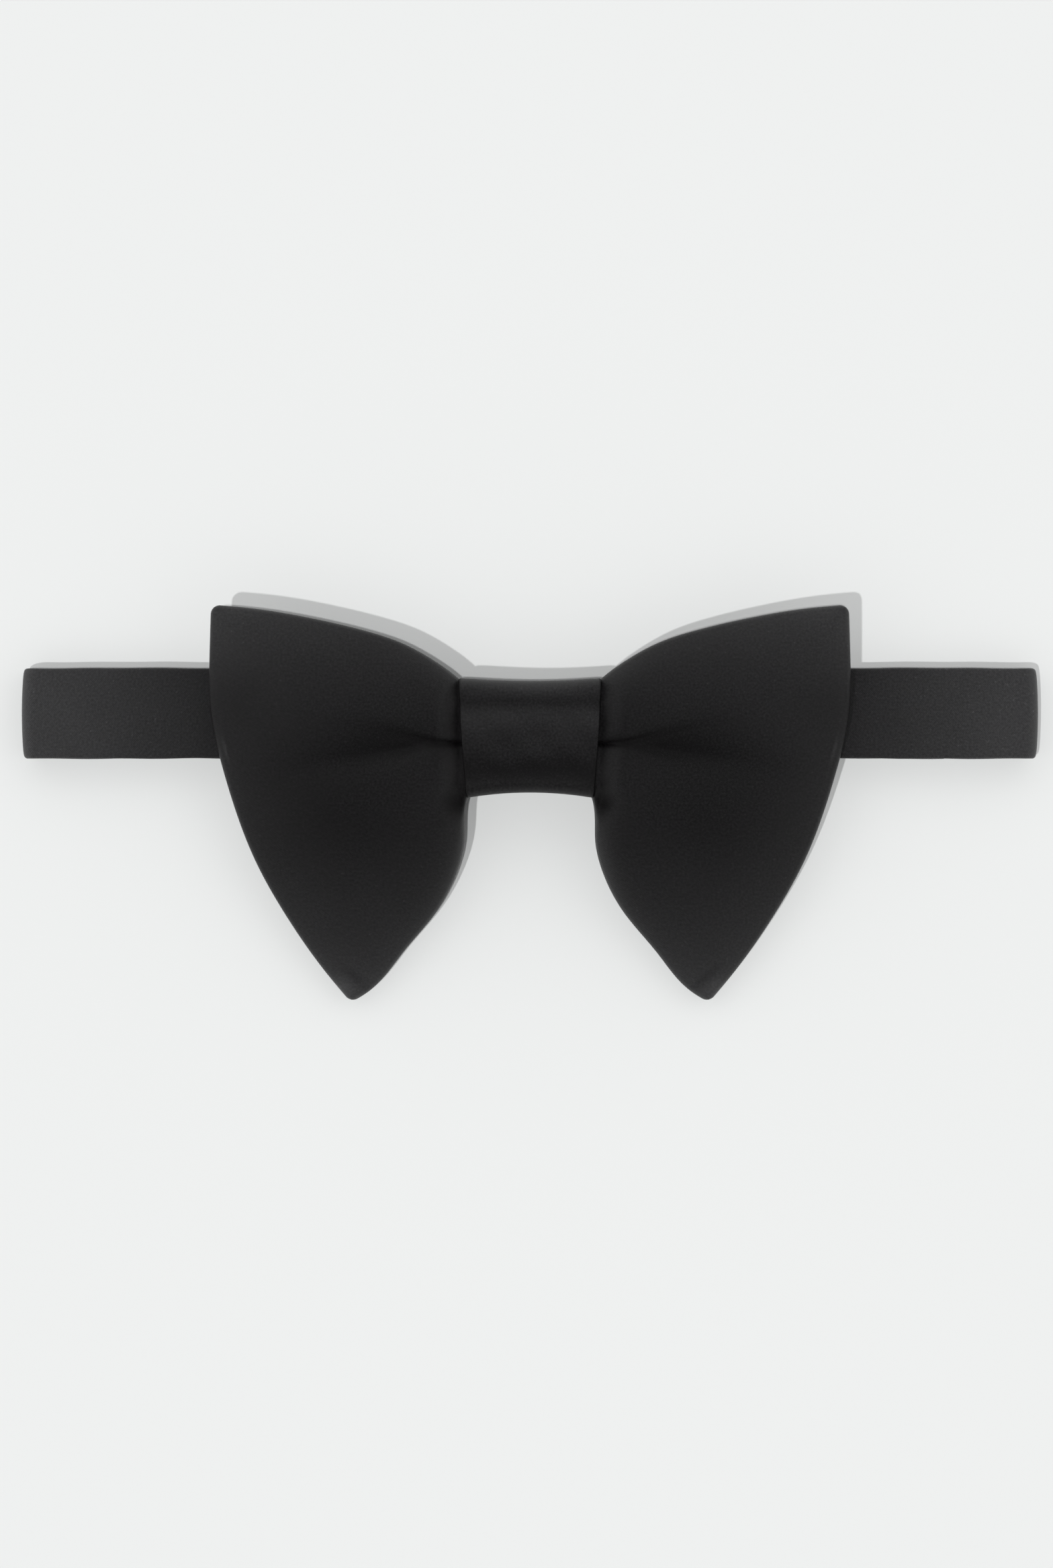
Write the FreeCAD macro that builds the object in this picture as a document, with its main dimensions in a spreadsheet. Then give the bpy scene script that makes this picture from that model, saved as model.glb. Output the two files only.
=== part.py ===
import FreeCAD, Part
import math
import os
import Sketcher
from FreeCAD import Rotation, Vector

# A pre-tied bow tie on its closed neckband, lying on its back with the bow on top.
# X runs along the band, Y up the face of the bow and Z out of it, in millimetres.
# The origin is on the resting plane, under the middle of the knot, on the band's centreline.

doc = FreeCAD.newDocument("BowTie")
sheet = doc.addObject("Spreadsheet::Sheet", "Sizes")

SIZES = [
    ("band_width", 18.5, "neckband, long edge to long edge"),
    ("band_thickness", 1.0, "neckband, both faces of its sleeve with the lining between"),
    ("band_half_length", 104.0, "middle of the knot to the outside of a fold"),
    ("strand_gap", 3.9, "room between the front strand and the rear one"),
    ("fold_lead", 6.0, "straight length that belongs to each end of a fold"),
    ("sleeve_wall", 0.3, "one face of the band's sleeve"),
    ("lining_play", 0.02, "air between the lining strip and each face of the sleeve"),
    ("lining_inset", 0.5, "edge of the sleeve to the edge of the lining strip"),
    ("strap_width", 14.0, "band where it is cut narrow for the hardware"),
    ("notch_half_length", 20.0, "middle of the knot to the end of the front strand's narrow part"),
    ("layer_gap", 0.25, "air between the two layers of the adjustable strap"),
    ("cloth_bend", 1.2, "centreline radius where a strap changes level"),
    ("plate_thickness", 0.8, "sheet metal of the hook, the eye and the slider"),
    ("bar_width", 1.6, "cross bars that carry cloth"),
    ("rim_width", 1.5, "outer bars and side rails of the hardware"),
    ("slot_play", 1.0, "slot's width over the strap's width"),
    ("bar_slack", 0.4, "inside height of a cloth loop over the bar's thickness"),
    ("bar_play", 0.5, "cloth loop's end to the bar, along the strap"),
    ("hook_room", 1.4, "inside height of the hook's bend, where the eye's bar lies"),
    ("hook_start", -47.3, "outer side of the hook's strap bar"),
    ("hook_slot", 5.0, "length of the hook's slot"),
    ("hook_travel", 3.2, "how far the hook slides in its cloth loop"),
    ("hook_reach", 16.1, "hook, end to end"),
    ("hook_lip", 3.7, "length of the turned back tongue"),
    ("hook_width", 9.0, "width of the hook's tongue"),
    ("joggle_start", 7.0, "outer side of the strap bar to the step in the hook's plate"),
    ("joggle_run", 2.0, "length of that step"),
    ("hook_gap", 0.2, "hook's floor to the eye's bar above it"),
    ("hook_play", 0.3, "inside of the hook's bend to the eye's bar"),
    ("eye_window", 6.6, "length of the eye's opening"),
    ("flap_length", 11.0, "sewn down end of the strap behind the hook"),
    ("flap_join", 2.7, "strap bar to the place where the loop's strip begins"),
    ("slider_centre", 40.0, "middle of the slider, at rest"),
    ("slider_slot", 5.0, "length of each of the slider's slots"),
    ("slider_play", 0.18, "slider's outer bars to the strap under them"),
    ("slider_travel", 14.0, "travel of the slider each way"),
    ("leg_thickness", 0.48, "single layer of the strap round the slider's centre bar"),
    ("leg_length", 10.0, "slider's middle to the start of that single layer"),
    ("run_play", 0.7, "end of the slider's travel to the fixed strap"),
    ("strap_rise", 4.1, "slope length of the strap through one slot"),
    ("stitch_length", 2.0, "one stitch"),
    ("stitch_width", 0.35, "sewing thread"),
    ("stitch_height", 0.2, "how far a stitch stands off the cloth"),
    ("stitch_pitch", 3.1, "stitch to stitch"),
    ("stitch_edge", 1.4, "strap's edge to the first stitch"),
    ("label_width", 16.0, "care label along the band"),
    ("label_height", 12.0, "care label across the band"),
    ("label_thickness", 0.25, "care label"),
    ("label_centre", -80.0, "middle of the care label"),
    ("knot_top_half", 14.4, "half of the knot's upper edge"),
    ("knot_bottom_half", 12.8, "half of the knot's lower edge"),
    ("knot_top", 7.0, "knot's upper edge above the band's centreline"),
    ("knot_bottom", 17.3, "knot's lower edge below the band's centreline"),
    ("knot_room", 0.9, "gathered waist to the front of the knot's lining"),
    ("knot_wall", 0.5, "satin of the knot"),
    ("knot_lining", 0.35, "interlining of the knot"),
    ("knot_play", 0.25, "interlining of the knot to the front strand"),
    ("knot_round", 3.5, "corner radius of the knot's front"),
    ("knot_back_round", 1.5, "corner radius of the knot's back"),
    ("thread_wall", 0.3, "gathering thread round the waist"),
    ("thread_play", 0.05, "gathering thread to the gathered cloth"),
    ("thread_width", 3.0, "gathering thread, all its turns side by side"),
    ("lean_play", 0.15, "gathering thread to the front strand"),
    ("bow_half_width", 65.1, "middle of the bow to the outer edge of a wing"),
    ("wing_rise", 31.4, "line where the bow leans on the band to the top of a wing"),
    ("wing_drop", 49.3, "the same line to the tip of a wing"),
    ("wing_gap", 0.2, "side of the knot to the wing's shoulder"),
    ("waist_room", 1.55, "knot's lining to the top and the bottom of the gathered waist"),
    ("waist_depth", 3.6, "gathered waist, back to front"),
    ("wing_depth", 9.0, "fullest part of a wing, back to front"),
    ("wing_edge_depth", 3.6, "wing's outer edge, back to front"),
    ("panel_wall", 0.5, "satin of the bow"),
    ("bow_lining", 0.8, "interlining of the bow"),
    ("bow_lining_inset", 1.5, "edge of a wing to the edge of its interlining"),
    ("tip_round", 2.0, "corner radius of a wing's tip and upper corner"),
    ("rim_bevel", 0.6, "bevel of a wing's front edge"),
]

for row, (alias, amount, note) in enumerate(SIZES, start=1):
    sheet.set(f"A{row}", note)
    sheet.set(f"B{row}", str(amount))
    sheet.setAlias(f"B{row}", alias)
doc.recompute()

# Places worked out from the sheet. Each is an expression, so that features can be bound to it.
BAND_LOW = "(-Sizes.band_width / 2)"
BAND_HIGH = "(Sizes.band_width / 2)"
STRAP_HIGH = "(Sizes.strap_width - Sizes.band_width / 2)"
STRAP_MIDDLE = "((Sizes.strap_width - Sizes.band_width) / 2)"
STRAND_MIDDLE = "(Sizes.band_thickness / 2)"
FRONT_LOW = "(Sizes.band_thickness + Sizes.strand_gap)"
FRONT_HIGH = "(2 * Sizes.band_thickness + Sizes.strand_gap)"
FOLD_RADIUS = "((Sizes.band_thickness + Sizes.strand_gap) / 2)"
FOLD_AXIS = "(Sizes.band_half_length - Sizes.band_thickness - Sizes.strand_gap / 2)"
FOLD_JOIN = f"({FOLD_AXIS} - Sizes.fold_lead)"
BAR_ROOM = "(Sizes.plate_thickness + Sizes.bar_slack)"
LOOP_RADIUS = f"(({BAR_ROOM} + Sizes.band_thickness) / 2)"
BAR_MIDDLE = f"(Sizes.band_thickness + {BAR_ROOM} / 2)"
LOOP_TOP = f"(1.5 * Sizes.band_thickness + {BAR_ROOM})"
UPPER_MIDDLE = "(1.5 * Sizes.band_thickness + Sizes.layer_gap)"
FRAME_LOW = "(-Sizes.band_width / 2 - Sizes.slot_play / 2 - Sizes.rim_width)"
FRAME_HIGH = f"({STRAP_HIGH} + Sizes.slot_play / 2 + Sizes.rim_width)"
SLOT_LOW = "(-Sizes.band_width / 2 - Sizes.slot_play / 2)"
SLOT_HIGH = f"({STRAP_HIGH} + Sizes.slot_play / 2)"
HOOK_END = "(Sizes.hook_start + Sizes.hook_reach)"
HOOK_SLOT_START = "(Sizes.hook_start + Sizes.bar_width)"
HOOK_SLOT_END = f"({HOOK_SLOT_START} + Sizes.hook_slot)"
EYE_WINDOW_START = f"({HOOK_END} - Sizes.plate_thickness - Sizes.hook_play)"
EYE_START = f"({EYE_WINDOW_START} - Sizes.bar_width)"
EYE_WINDOW_END = f"({EYE_WINDOW_START} + Sizes.eye_window)"
EYE_END = f"({EYE_WINDOW_END} + Sizes.bar_width)"
FLAP_JOIN = "(Sizes.hook_start - Sizes.flap_join)"
HOOK_FLOOR = f"({BAR_MIDDLE} - Sizes.plate_thickness - Sizes.hook_gap)"
HOOK_BEND = "((Sizes.hook_room + Sizes.plate_thickness) / 2)"
SLIDER_HALF = "(Sizes.bar_width / 2 + Sizes.slider_slot + Sizes.rim_width)"
SLIDER_ARM = "(Sizes.bar_width / 2 + Sizes.slider_slot + Sizes.rim_width / 2)"
SLIDER_LOW = "(Sizes.band_thickness + Sizes.slider_play + Sizes.plate_thickness / 2)"
SLIDER_HIGH = f"({UPPER_MIDDLE} + Sizes.band_thickness / 2 + Sizes.slider_play + Sizes.plate_thickness / 2)"
SLIDER_HEIGHT = f"(({SLIDER_LOW} + {SLIDER_HIGH}) / 2)"
SLIDER_SLOPE = f"(({SLIDER_HIGH} - {SLIDER_LOW}) / (2 * {SLIDER_ARM}))"
LOOP_PLAY = f"(Sizes.thread_play + Sizes.bar_width / 2 * {SLIDER_SLOPE})"
LOOP_END = f"(Sizes.bar_width / 2 + {LOOP_PLAY} + Sizes.bar_play / 2 + Sizes.leg_thickness)"
LOOP_WRAP = f"(Sizes.plate_thickness / 2 + {LOOP_PLAY} + Sizes.leg_thickness)"
RUN_END = f"(Sizes.slider_centre + {SLIDER_HALF} + Sizes.slider_travel + Sizes.run_play)"
RUN_START = "(Sizes.slider_centre - Sizes.leg_length - Sizes.slider_travel - 2 * Sizes.run_play)"
KNOT_LOW = f"({FRONT_LOW} - Sizes.knot_play - Sizes.knot_lining - Sizes.knot_wall)"
LEAN_HEIGHT = f"({FRONT_HIGH} + Sizes.lean_play + Sizes.thread_wall + Sizes.thread_play)"
KNOT_INSET = "(Sizes.knot_wall + Sizes.knot_lining)"
WAIST_TOP = f"(Sizes.knot_top + Sizes.band_width / 2 - {KNOT_INSET} - Sizes.waist_room)"
WAIST_BOTTOM = f"(Sizes.knot_bottom - Sizes.band_width / 2 - {KNOT_INSET} - Sizes.waist_room)"
WAIST_FRONT = f"({LEAN_HEIGHT} * (1 + {WAIST_TOP} / Sizes.wing_drop) + Sizes.waist_depth)"
KNOT_FRONT = f"({WAIST_FRONT} + Sizes.thread_wall + Sizes.thread_play + Sizes.knot_room + {KNOT_INSET})"
ROOT_TOP = "(Sizes.knot_top + Sizes.band_width / 2 + Sizes.wing_gap)"
ROOT_BOTTOM = "(Sizes.knot_bottom - Sizes.band_width / 2 + Sizes.wing_gap)"

SAME_PLACE = 1e-3  # points nearer than this count as one

subparts = []


def number(expression):
    return float(sheet.evalExpression(expression))


def keep(thing, label):
    thing.Label = label
    subparts.append(thing)
    return thing


def new_body(label):
    return keep(doc.addObject("PartDesign::Body", label), label)


def plane_sketch(body, role, name, offset="0"):
    """Sketch on one of the body's own origin planes, moved along its normal by offset."""
    sketch = body.newObject("Sketcher::SketchObject", f"{body.Name}_{name}")
    plane = [feature for feature in body.Origin.OriginFeatures if feature.Role == role][0]
    sketch.AttachmentSupport = [(plane, "")]
    sketch.MapMode = "FlatFace"
    sketch.setExpression("AttachmentOffset.Base.z", offset)
    return sketch


def rectangle(sketch, left, right, low, high):
    """Rectangle with each side held at its own expression."""
    corners = [
        Vector(number(left), number(low), 0),
        Vector(number(right), number(low), 0),
        Vector(number(right), number(high), 0),
        Vector(number(left), number(high), 0),
    ]
    first = sketch.GeometryCount
    sides = [Part.LineSegment(corners[i], corners[(i + 1) % 4]) for i in range(4)]
    sketch.addGeometry(sides, False)
    for i in range(4):
        sketch.addConstraint(Sketcher.Constraint("Coincident", first + i, 2, first + (i + 1) % 4, 1))
        direction = "Horizontal" if i % 2 == 0 else "Vertical"
        sketch.addConstraint(Sketcher.Constraint(direction, first + i))
    held = [("DistanceX", 0, left), ("DistanceX", 2, right), ("DistanceY", 0, low), ("DistanceY", 2, high)]
    for kind, side, place in held:
        rule = Sketcher.Constraint(kind, -1, 1, first + side, 1, number(place))
        index = sketch.addConstraint(rule)
        sketch.setExpression(f"Constraints[{index}]", place)


def outline(sketch, pieces):
    """Closed outline from lines (start, end) and arcs (start, middle, end), joined in order."""
    made = [Part.LineSegment(*piece) if len(piece) == 2 else Part.Arc(*piece) for piece in pieces]
    sketch.addGeometry(made, False)


def polygon(sketch, corners):
    points = [Vector(x, y, 0) for x, y in corners]
    outline(sketch, list(zip(points, points[1:] + points[:1])))


def pad(body, sketch, length):
    feature = body.newObject("PartDesign::Pad", f"{sketch.Name}_pad")
    feature.Profile = sketch
    feature.setExpression("Length", length)
    sketch.Visibility = False
    doc.recompute()
    return feature


def cut_through(body, sketch):
    """Pocket right through the body, both ways from the sketch. It has to remove something."""
    before = body.Shape.Volume
    feature = body.newObject("PartDesign::Pocket", f"{sketch.Name}_pocket")
    feature.Profile = sketch
    feature.Type = "ThroughAll"
    feature.SideType = "Symmetric"
    doc.recompute()
    if not body.Shape.Volume < before:
        raise RuntimeError(f"{feature.Name} cuts nothing")
    return feature


def plate(label, left, right, low, high, base, thickness, windows=()):
    """Flat plate parallel to the resting plane, with rectangular windows."""
    body = new_body(label)
    sketch = plane_sketch(body, "XY_Plane", "plan", base)
    rectangle(sketch, left, right, low, high)
    for window in windows:
        rectangle(sketch, *window)
    pad(body, sketch, thickness)
    return body


def sleeve(label, left, right, base):
    """Band sewn as a flat tube: full width outside, with the strap's lining space inside."""
    body = new_body(label)
    sketch = plane_sketch(body, "YZ_Plane", "section", left)
    rectangle(sketch, BAND_LOW, BAND_HIGH, base, f"{base} + Sizes.band_thickness")
    rectangle(
        sketch,
        f"{BAND_LOW} + Sizes.lining_inset - Sizes.lining_play",
        f"{STRAP_HIGH} - Sizes.lining_inset + Sizes.lining_play",
        f"{base} + Sizes.sleeve_wall",
        f"{base} + Sizes.band_thickness - Sizes.sleeve_wall",
    )
    pad(body, sketch, f"{right} - {left}")
    return body


def lining(label, left, right, base):
    """Interlining strip that lies inside a sleeve."""
    return plate(
        label,
        f"{left} + Sizes.lining_inset",
        f"{right} - Sizes.lining_inset",
        f"{BAND_LOW} + Sizes.lining_inset",
        f"{STRAP_HIGH} - Sizes.lining_inset",
        f"{base} + Sizes.sleeve_wall + Sizes.lining_play",
        "Sizes.band_thickness - 2 * Sizes.sleeve_wall - 2 * Sizes.lining_play",
    )


def narrow(body, full, cut):
    """Cuts the upper edge of a strand: full width at x = full, the strap's width from x = cut on."""
    top, strap = number(BAND_HIGH), number(STRAP_HIGH)
    above = top + number("Sizes.band_width")
    end = cut + math.copysign(number(FOLD_AXIS), cut - full)
    sketch = plane_sketch(body, "XY_Plane", "taper")
    polygon(sketch, [(full, top), (cut, strap), (end, strap), (end, above), (full, above)])
    cut_through(body, sketch)


def ribbon_sides(route, thickness):
    """Both sides of a strip of even thickness along straight runs joined by tangent arcs.

    route holds (x, z, bend radius of the centreline); its two ends have no bend.
    """
    half = thickness / 2
    points = [Vector(x, z, 0) for x, z, bend in route]
    runs = [(b - a).normalize() for a, b in zip(points, points[1:])]
    left, right = [], []

    def across(direction):
        return Vector(-direction.y, direction.x, 0)

    def straight(start, end, direction):
        if start.distanceToPoint(end) > SAME_PLACE:
            left.append((start + across(direction) * half, end + across(direction) * half))
            right.append((start - across(direction) * half, end - across(direction) * half))

    start = points[0]
    for i in range(1, len(points) - 1):
        before, after, bend = runs[i - 1], runs[i], route[i][2]
        turn = math.atan2(before.x * after.y - before.y * after.x, before.dot(after))
        side = math.copysign(1, turn)
        reach = bend * math.tan(abs(turn) / 2)
        enter, leave = points[i] - before * reach, points[i] + after * reach
        straight(start, enter, before)
        centre = enter + across(before) * bend * side
        middle = (across(before) + across(after)).normalize() * -side
        for edges, radius, sign in ((left, bend - half * side, 1), (right, bend + half * side, -1)):
            first = enter + across(before) * half * sign
            last = leave + across(after) * half * sign
            edges.append((first, centre + middle * radius, last))
        start = leave
    straight(start, points[-1], runs[-1])
    return left, right


def ribbon(label, route, thickness, low, high):
    """Strip of the given thickness that follows route in X and Z, from y = low to y = high."""
    left, right = ribbon_sides(route, number(thickness))
    back = [tuple(reversed(piece)) for piece in reversed(right)]
    pieces = left + [(left[-1][-1], back[0][0])] + back + [(back[-1][-1], left[0][0])]
    body = new_body(label)
    sketch = plane_sketch(body, "XZ_Plane", "strip", f"-({high})")
    outline(sketch, pieces)
    pad(body, sketch, f"{high} - ({low})")
    return body


def stitches(label, places, along_x):
    """Row of short straight stitches, each a small bar; a place is (x, y, z) expressions."""
    bars = []
    for x, y, z in places:
        bar = doc.addObject("Part::Box", "stitch")
        bar.setExpression("Length", "Sizes.stitch_length" if along_x else "Sizes.stitch_width")
        bar.setExpression("Width", "Sizes.stitch_width" if along_x else "Sizes.stitch_length")
        bar.setExpression("Height", "Sizes.stitch_height")
        bar.setExpression("Placement.Base.x", x)
        bar.setExpression("Placement.Base.y", y)
        bar.setExpression("Placement.Base.z", z)
        bars.append(bar)
    row = doc.addObject("Part::Compound", label)
    row.Links = bars
    return keep(row, label)


def stitch_row(label, x, z):
    """Stitches across the strap at one x, on a face at height z."""
    room = number("Sizes.strap_width - 2 * Sizes.stitch_edge - Sizes.stitch_length")
    count = int(room / number("Sizes.stitch_pitch")) + 1
    first = f"{BAND_LOW} + Sizes.stitch_edge"
    return stitches(label, [(x, f"{first} + {i} * Sizes.stitch_pitch", z) for i in range(count)], False)



def front_strand():
    body = sleeve("band_front", f"-{FOLD_JOIN}", FOLD_JOIN, FRONT_LOW)
    notch = plane_sketch(body, "XY_Plane", "notch")
    ends = ("-Sizes.notch_half_length", "Sizes.notch_half_length")
    rectangle(notch, *ends, STRAP_HIGH, f"{BAND_HIGH} + Sizes.band_thickness")
    cut_through(body, notch)
    lining("band_front_lining", f"-{FOLD_JOIN}", FOLD_JOIN, FRONT_LOW)


def care_label():
    ends = ("(Sizes.label_centre - Sizes.label_width / 2)", "(Sizes.label_centre + Sizes.label_width / 2)")
    underside = f"({FRONT_LOW} - Sizes.label_thickness)"
    plate("care_label", *ends, "-Sizes.label_height / 2", "Sizes.label_height / 2",
          underside, "Sizes.label_thickness")
    count = int(number("(Sizes.label_height - Sizes.stitch_length) / Sizes.stitch_pitch")) + 1
    inset = "Sizes.stitch_width"
    columns = (f"{ends[0]} + {inset}", f"{ends[1]} - 2 * {inset}")
    places = []
    for column in columns:
        for i in range(count):
            y = f"-Sizes.label_height / 2 + {inset} + {i} * Sizes.stitch_pitch"
            places.append((column, y, f"{underside} - Sizes.stitch_height"))
    stitches("label_stitches", places, False)


def fold(label, side):
    """U-turn of the band at one end of the loop."""
    join = side * number(FOLD_JOIN)
    corner = side * number("Sizes.band_half_length - Sizes.band_thickness / 2")
    low, high = number(STRAND_MIDDLE), number(f"{FRONT_LOW} + {STRAND_MIDDLE}")
    bend = number(FOLD_RADIUS)
    route = [(join, high, 0), (corner, high, bend), (corner, low, bend), (join, low, 0)]
    ribbon(label, route, "Sizes.band_thickness", BAND_LOW, BAND_HIGH)



def left_strand():
    body = sleeve("band_left", f"-{FOLD_JOIN}", FLAP_JOIN, "0")
    narrow(body, -number(FOLD_JOIN), -number(RUN_END))
    lining("band_left_lining", f"-{FOLD_JOIN}", FLAP_JOIN, "0")


def hook_loop():
    lower, upper = number(STRAND_MIDDLE), number(LOOP_TOP)
    bend, turn = number("Sizes.cloth_bend"), number(LOOP_RADIUS)
    end = number(f"{HOOK_SLOT_START} + Sizes.hook_travel + Sizes.bar_play + Sizes.band_thickness / 2")
    drop = number("Sizes.hook_start - Sizes.bar_play * 2")
    flap = number("1.5 * Sizes.band_thickness")
    landing = drop - 2 * (upper - flap)
    route = [
        (number(FLAP_JOIN), lower, 0),
        (end, lower, turn),
        (end, upper, turn),
        (drop, upper, bend),
        (landing, flap, bend),
        (number(f"{FLAP_JOIN} - Sizes.flap_length"), flap, 0),
    ]
    ribbon("band_hook_loop", route, "Sizes.band_thickness", BAND_LOW, STRAP_HIGH)
    seam = f"({FLAP_JOIN} - Sizes.flap_length / 2)"
    stitch_row("hook_loop_stitches", seam, "2 * Sizes.band_thickness")


def hook():
    """Flat plate with a slot for the loop, stepped down and turned back on itself as a tongue."""
    start, bar = number("Sizes.hook_start"), number(BAR_MIDDLE)
    floor, bend = number(HOOK_FLOOR), number(HOOK_BEND)
    step = number("Sizes.hook_start + Sizes.joggle_start")
    end = number(f"{HOOK_END} - Sizes.plate_thickness / 2")
    ease = number("Sizes.plate_thickness")
    route = [
        (start, bar, 0),
        (step, bar, ease),
        (step + number("Sizes.joggle_run"), floor, ease),
        (end, floor, bend),
        (end, floor + 2 * bend, bend),
        (number(f"{HOOK_END} - Sizes.hook_lip"), floor + 2 * bend, 0),
    ]
    body = ribbon("hook", route, "Sizes.plate_thickness", FRAME_LOW, FRAME_HIGH)
    slot = plane_sketch(body, "XY_Plane", "slot")
    rectangle(slot, HOOK_SLOT_START, HOOK_SLOT_END, SLOT_LOW, SLOT_HIGH)
    cut_through(body, slot)
    sides = plane_sketch(body, "XY_Plane", "sides")
    shoulder = f"{HOOK_SLOT_END} + Sizes.rim_width"
    past = f"{HOOK_END} + Sizes.rim_width"
    tongue_high = f"{STRAP_MIDDLE} + Sizes.hook_width / 2"
    tongue_low = f"{STRAP_MIDDLE} - Sizes.hook_width / 2"
    rectangle(sides, shoulder, past, tongue_high, f"{FRAME_HIGH} + Sizes.rim_width")
    rectangle(sides, shoulder, past, f"{FRAME_LOW} - Sizes.rim_width", tongue_low)
    cut_through(body, sides)



def right_strand():
    body = sleeve("band_right", RUN_END, FOLD_JOIN, "0")
    narrow(body, number(FOLD_JOIN), number(RUN_END))
    lining("band_right_lining", RUN_END, FOLD_JOIN, "0")


def eye():
    window = (EYE_WINDOW_START, EYE_WINDOW_END, SLOT_LOW, SLOT_HIGH)
    plate("eye", EYE_START, EYE_END, FRAME_LOW, FRAME_HIGH,
          f"{BAR_MIDDLE} - Sizes.plate_thickness / 2", "Sizes.plate_thickness", [window])


def eye_strand():
    lower, top, upper = number(STRAND_MIDDLE), number(LOOP_TOP), number(UPPER_MIDDLE)
    bend, turn = number("Sizes.cloth_bend"), number(LOOP_RADIUS)
    end = number(f"{EYE_WINDOW_END} - Sizes.bar_play - Sizes.band_thickness / 2")
    drop = number(f"{EYE_END} + 2 * Sizes.bar_play")
    start = number(RUN_START)
    route = [
        (start, lower, 0),
        (end, lower, turn),
        (end, top, turn),
        (drop, top, bend),
        (drop + 2 * (top - upper), upper, bend),
        (start, upper, 0),
    ]
    ribbon("band_eye_strand", route, "Sizes.band_thickness", BAND_LOW, STRAP_HIGH)


def slider():
    """Plate with a centre bar and two slots, leaning on the strap that runs over its centre bar."""
    near, far = "Sizes.bar_width / 2", "(Sizes.bar_width / 2 + Sizes.slider_slot)"
    half_width = f"({FRAME_HIGH} - {FRAME_LOW}) / 2"
    half_slot = f"({SLOT_HIGH} - {SLOT_LOW}) / 2"
    windows = [(near, far, f"-{half_slot}", half_slot), (f"-{far}", f"-{near}", f"-{half_slot}", half_slot)]
    body = plate("slider", f"-{SLIDER_HALF}", SLIDER_HALF, f"-{half_width}", half_width,
                 "-Sizes.plate_thickness / 2", "Sizes.plate_thickness", windows)
    tilt = math.degrees(math.asin(number(SLIDER_SLOPE)))
    body.Placement.Rotation = Rotation(Vector(0, 1, 0), tilt)
    body.setExpression("Placement.Base.x", "Sizes.slider_centre")
    body.setExpression("Placement.Base.y", STRAP_MIDDLE)
    body.setExpression("Placement.Base.z", SLIDER_HEIGHT)


def strap_through_slider():
    """Adjustable strap: under the outer bars and over the centre bar, from the right strand leftwards."""
    centre, height = number("Sizes.slider_centre"), number(SLIDER_HEIGHT)
    lower, upper = number(STRAND_MIDDLE), number(UPPER_MIDDLE)
    bend = number("Sizes.cloth_bend")
    top = height + number(f"{LOOP_WRAP} + Sizes.layer_gap / 2 + Sizes.band_thickness / 2")
    rise = number("Sizes.strap_rise")
    right_top = centre + number(LOOP_END)
    left_top = centre - number("Sizes.bar_width / 2 + Sizes.bar_play / 2")
    route = [
        (number(RUN_END), lower, 0),
        (right_top + rise, lower, bend),
        (right_top, top, bend),
        (left_top, top, bend),
        (left_top - rise - number("Sizes.layer_gap"), upper, bend),
        (number(RUN_START), upper, 0),
    ]
    ribbon("band_slider_run", route, "Sizes.band_thickness", BAND_LOW, STRAP_HIGH)


def end_loop():
    """Single layer of the strap's end round the slider's centre bar, its two legs laid together."""
    centre, height = number("Sizes.slider_centre"), number(SLIDER_HEIGHT)
    leg = number("Sizes.leg_thickness")
    bend = leg * 2
    lower, upper = leg / 2, number("Sizes.band_thickness") - leg / 2
    turn = number(LOOP_WRAP) - leg / 2
    end = centre + number(LOOP_END) - leg / 2
    inner = centre - number("Sizes.bar_width / 2 + Sizes.bar_play / 2")
    start = centre - number("Sizes.leg_length")
    foot = centre - number("Sizes.strap_rise") - leg / 2
    route = [
        (start, lower, 0),
        (foot + leg * 2, lower, bend),
        (inner, height - turn, bend),
        (end, height - turn, turn),
        (end, height + turn, turn),
        (inner, height + turn, bend),
        (foot, upper, bend),
        (start, upper, 0),
    ]
    ribbon("band_end_loop", route, "Sizes.leg_thickness", BAND_LOW, STRAP_HIGH)
    seam = "(Sizes.slider_centre - Sizes.leg_length + 2 * Sizes.stitch_width)"
    stitch_row("end_loop_stitches", seam, "Sizes.band_thickness")


def return_strand():
    plate("band_return_run", RUN_START, "(Sizes.slider_centre - Sizes.leg_length)",
          BAND_LOW, STRAP_HIGH, "0", "Sizes.band_thickness")



def rounded_frame(sketch, inset):
    """Side view of the knot: a rectangle with wide front corners and narrow back corners."""
    low = -number("Sizes.knot_bottom") + inset
    high = number("Sizes.knot_top") - inset
    back = number(KNOT_LOW) + inset
    front = number(KNOT_FRONT) - inset
    wide = number("Sizes.knot_round") - inset
    tight = number("Sizes.knot_back_round") - inset
    corners = [
        (low, back, tight, 1, 1),
        (high, back, tight, -1, 1),
        (high, front, wide, -1, -1),
        (low, front, wide, 1, -1),
    ]
    middle = 1 - math.sqrt(0.5)
    arcs = []
    for y, z, radius, inward_y, inward_z in corners:
        along = Vector(y + radius * inward_y, z, 0)
        up = Vector(y, z + radius * inward_z, 0)
        bulge = Vector(y + radius * middle * inward_y, z + radius * middle * inward_z, 0)
        turns_up = inward_y * inward_z < 0
        arcs.append((along, bulge, up) if turns_up else (up, bulge, along))
    pieces = []
    for i, arc in enumerate(arcs):
        pieces.append(arc)
        pieces.append((arc[2], arcs[(i + 1) % 4][0]))
    outline(sketch, pieces)


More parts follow.
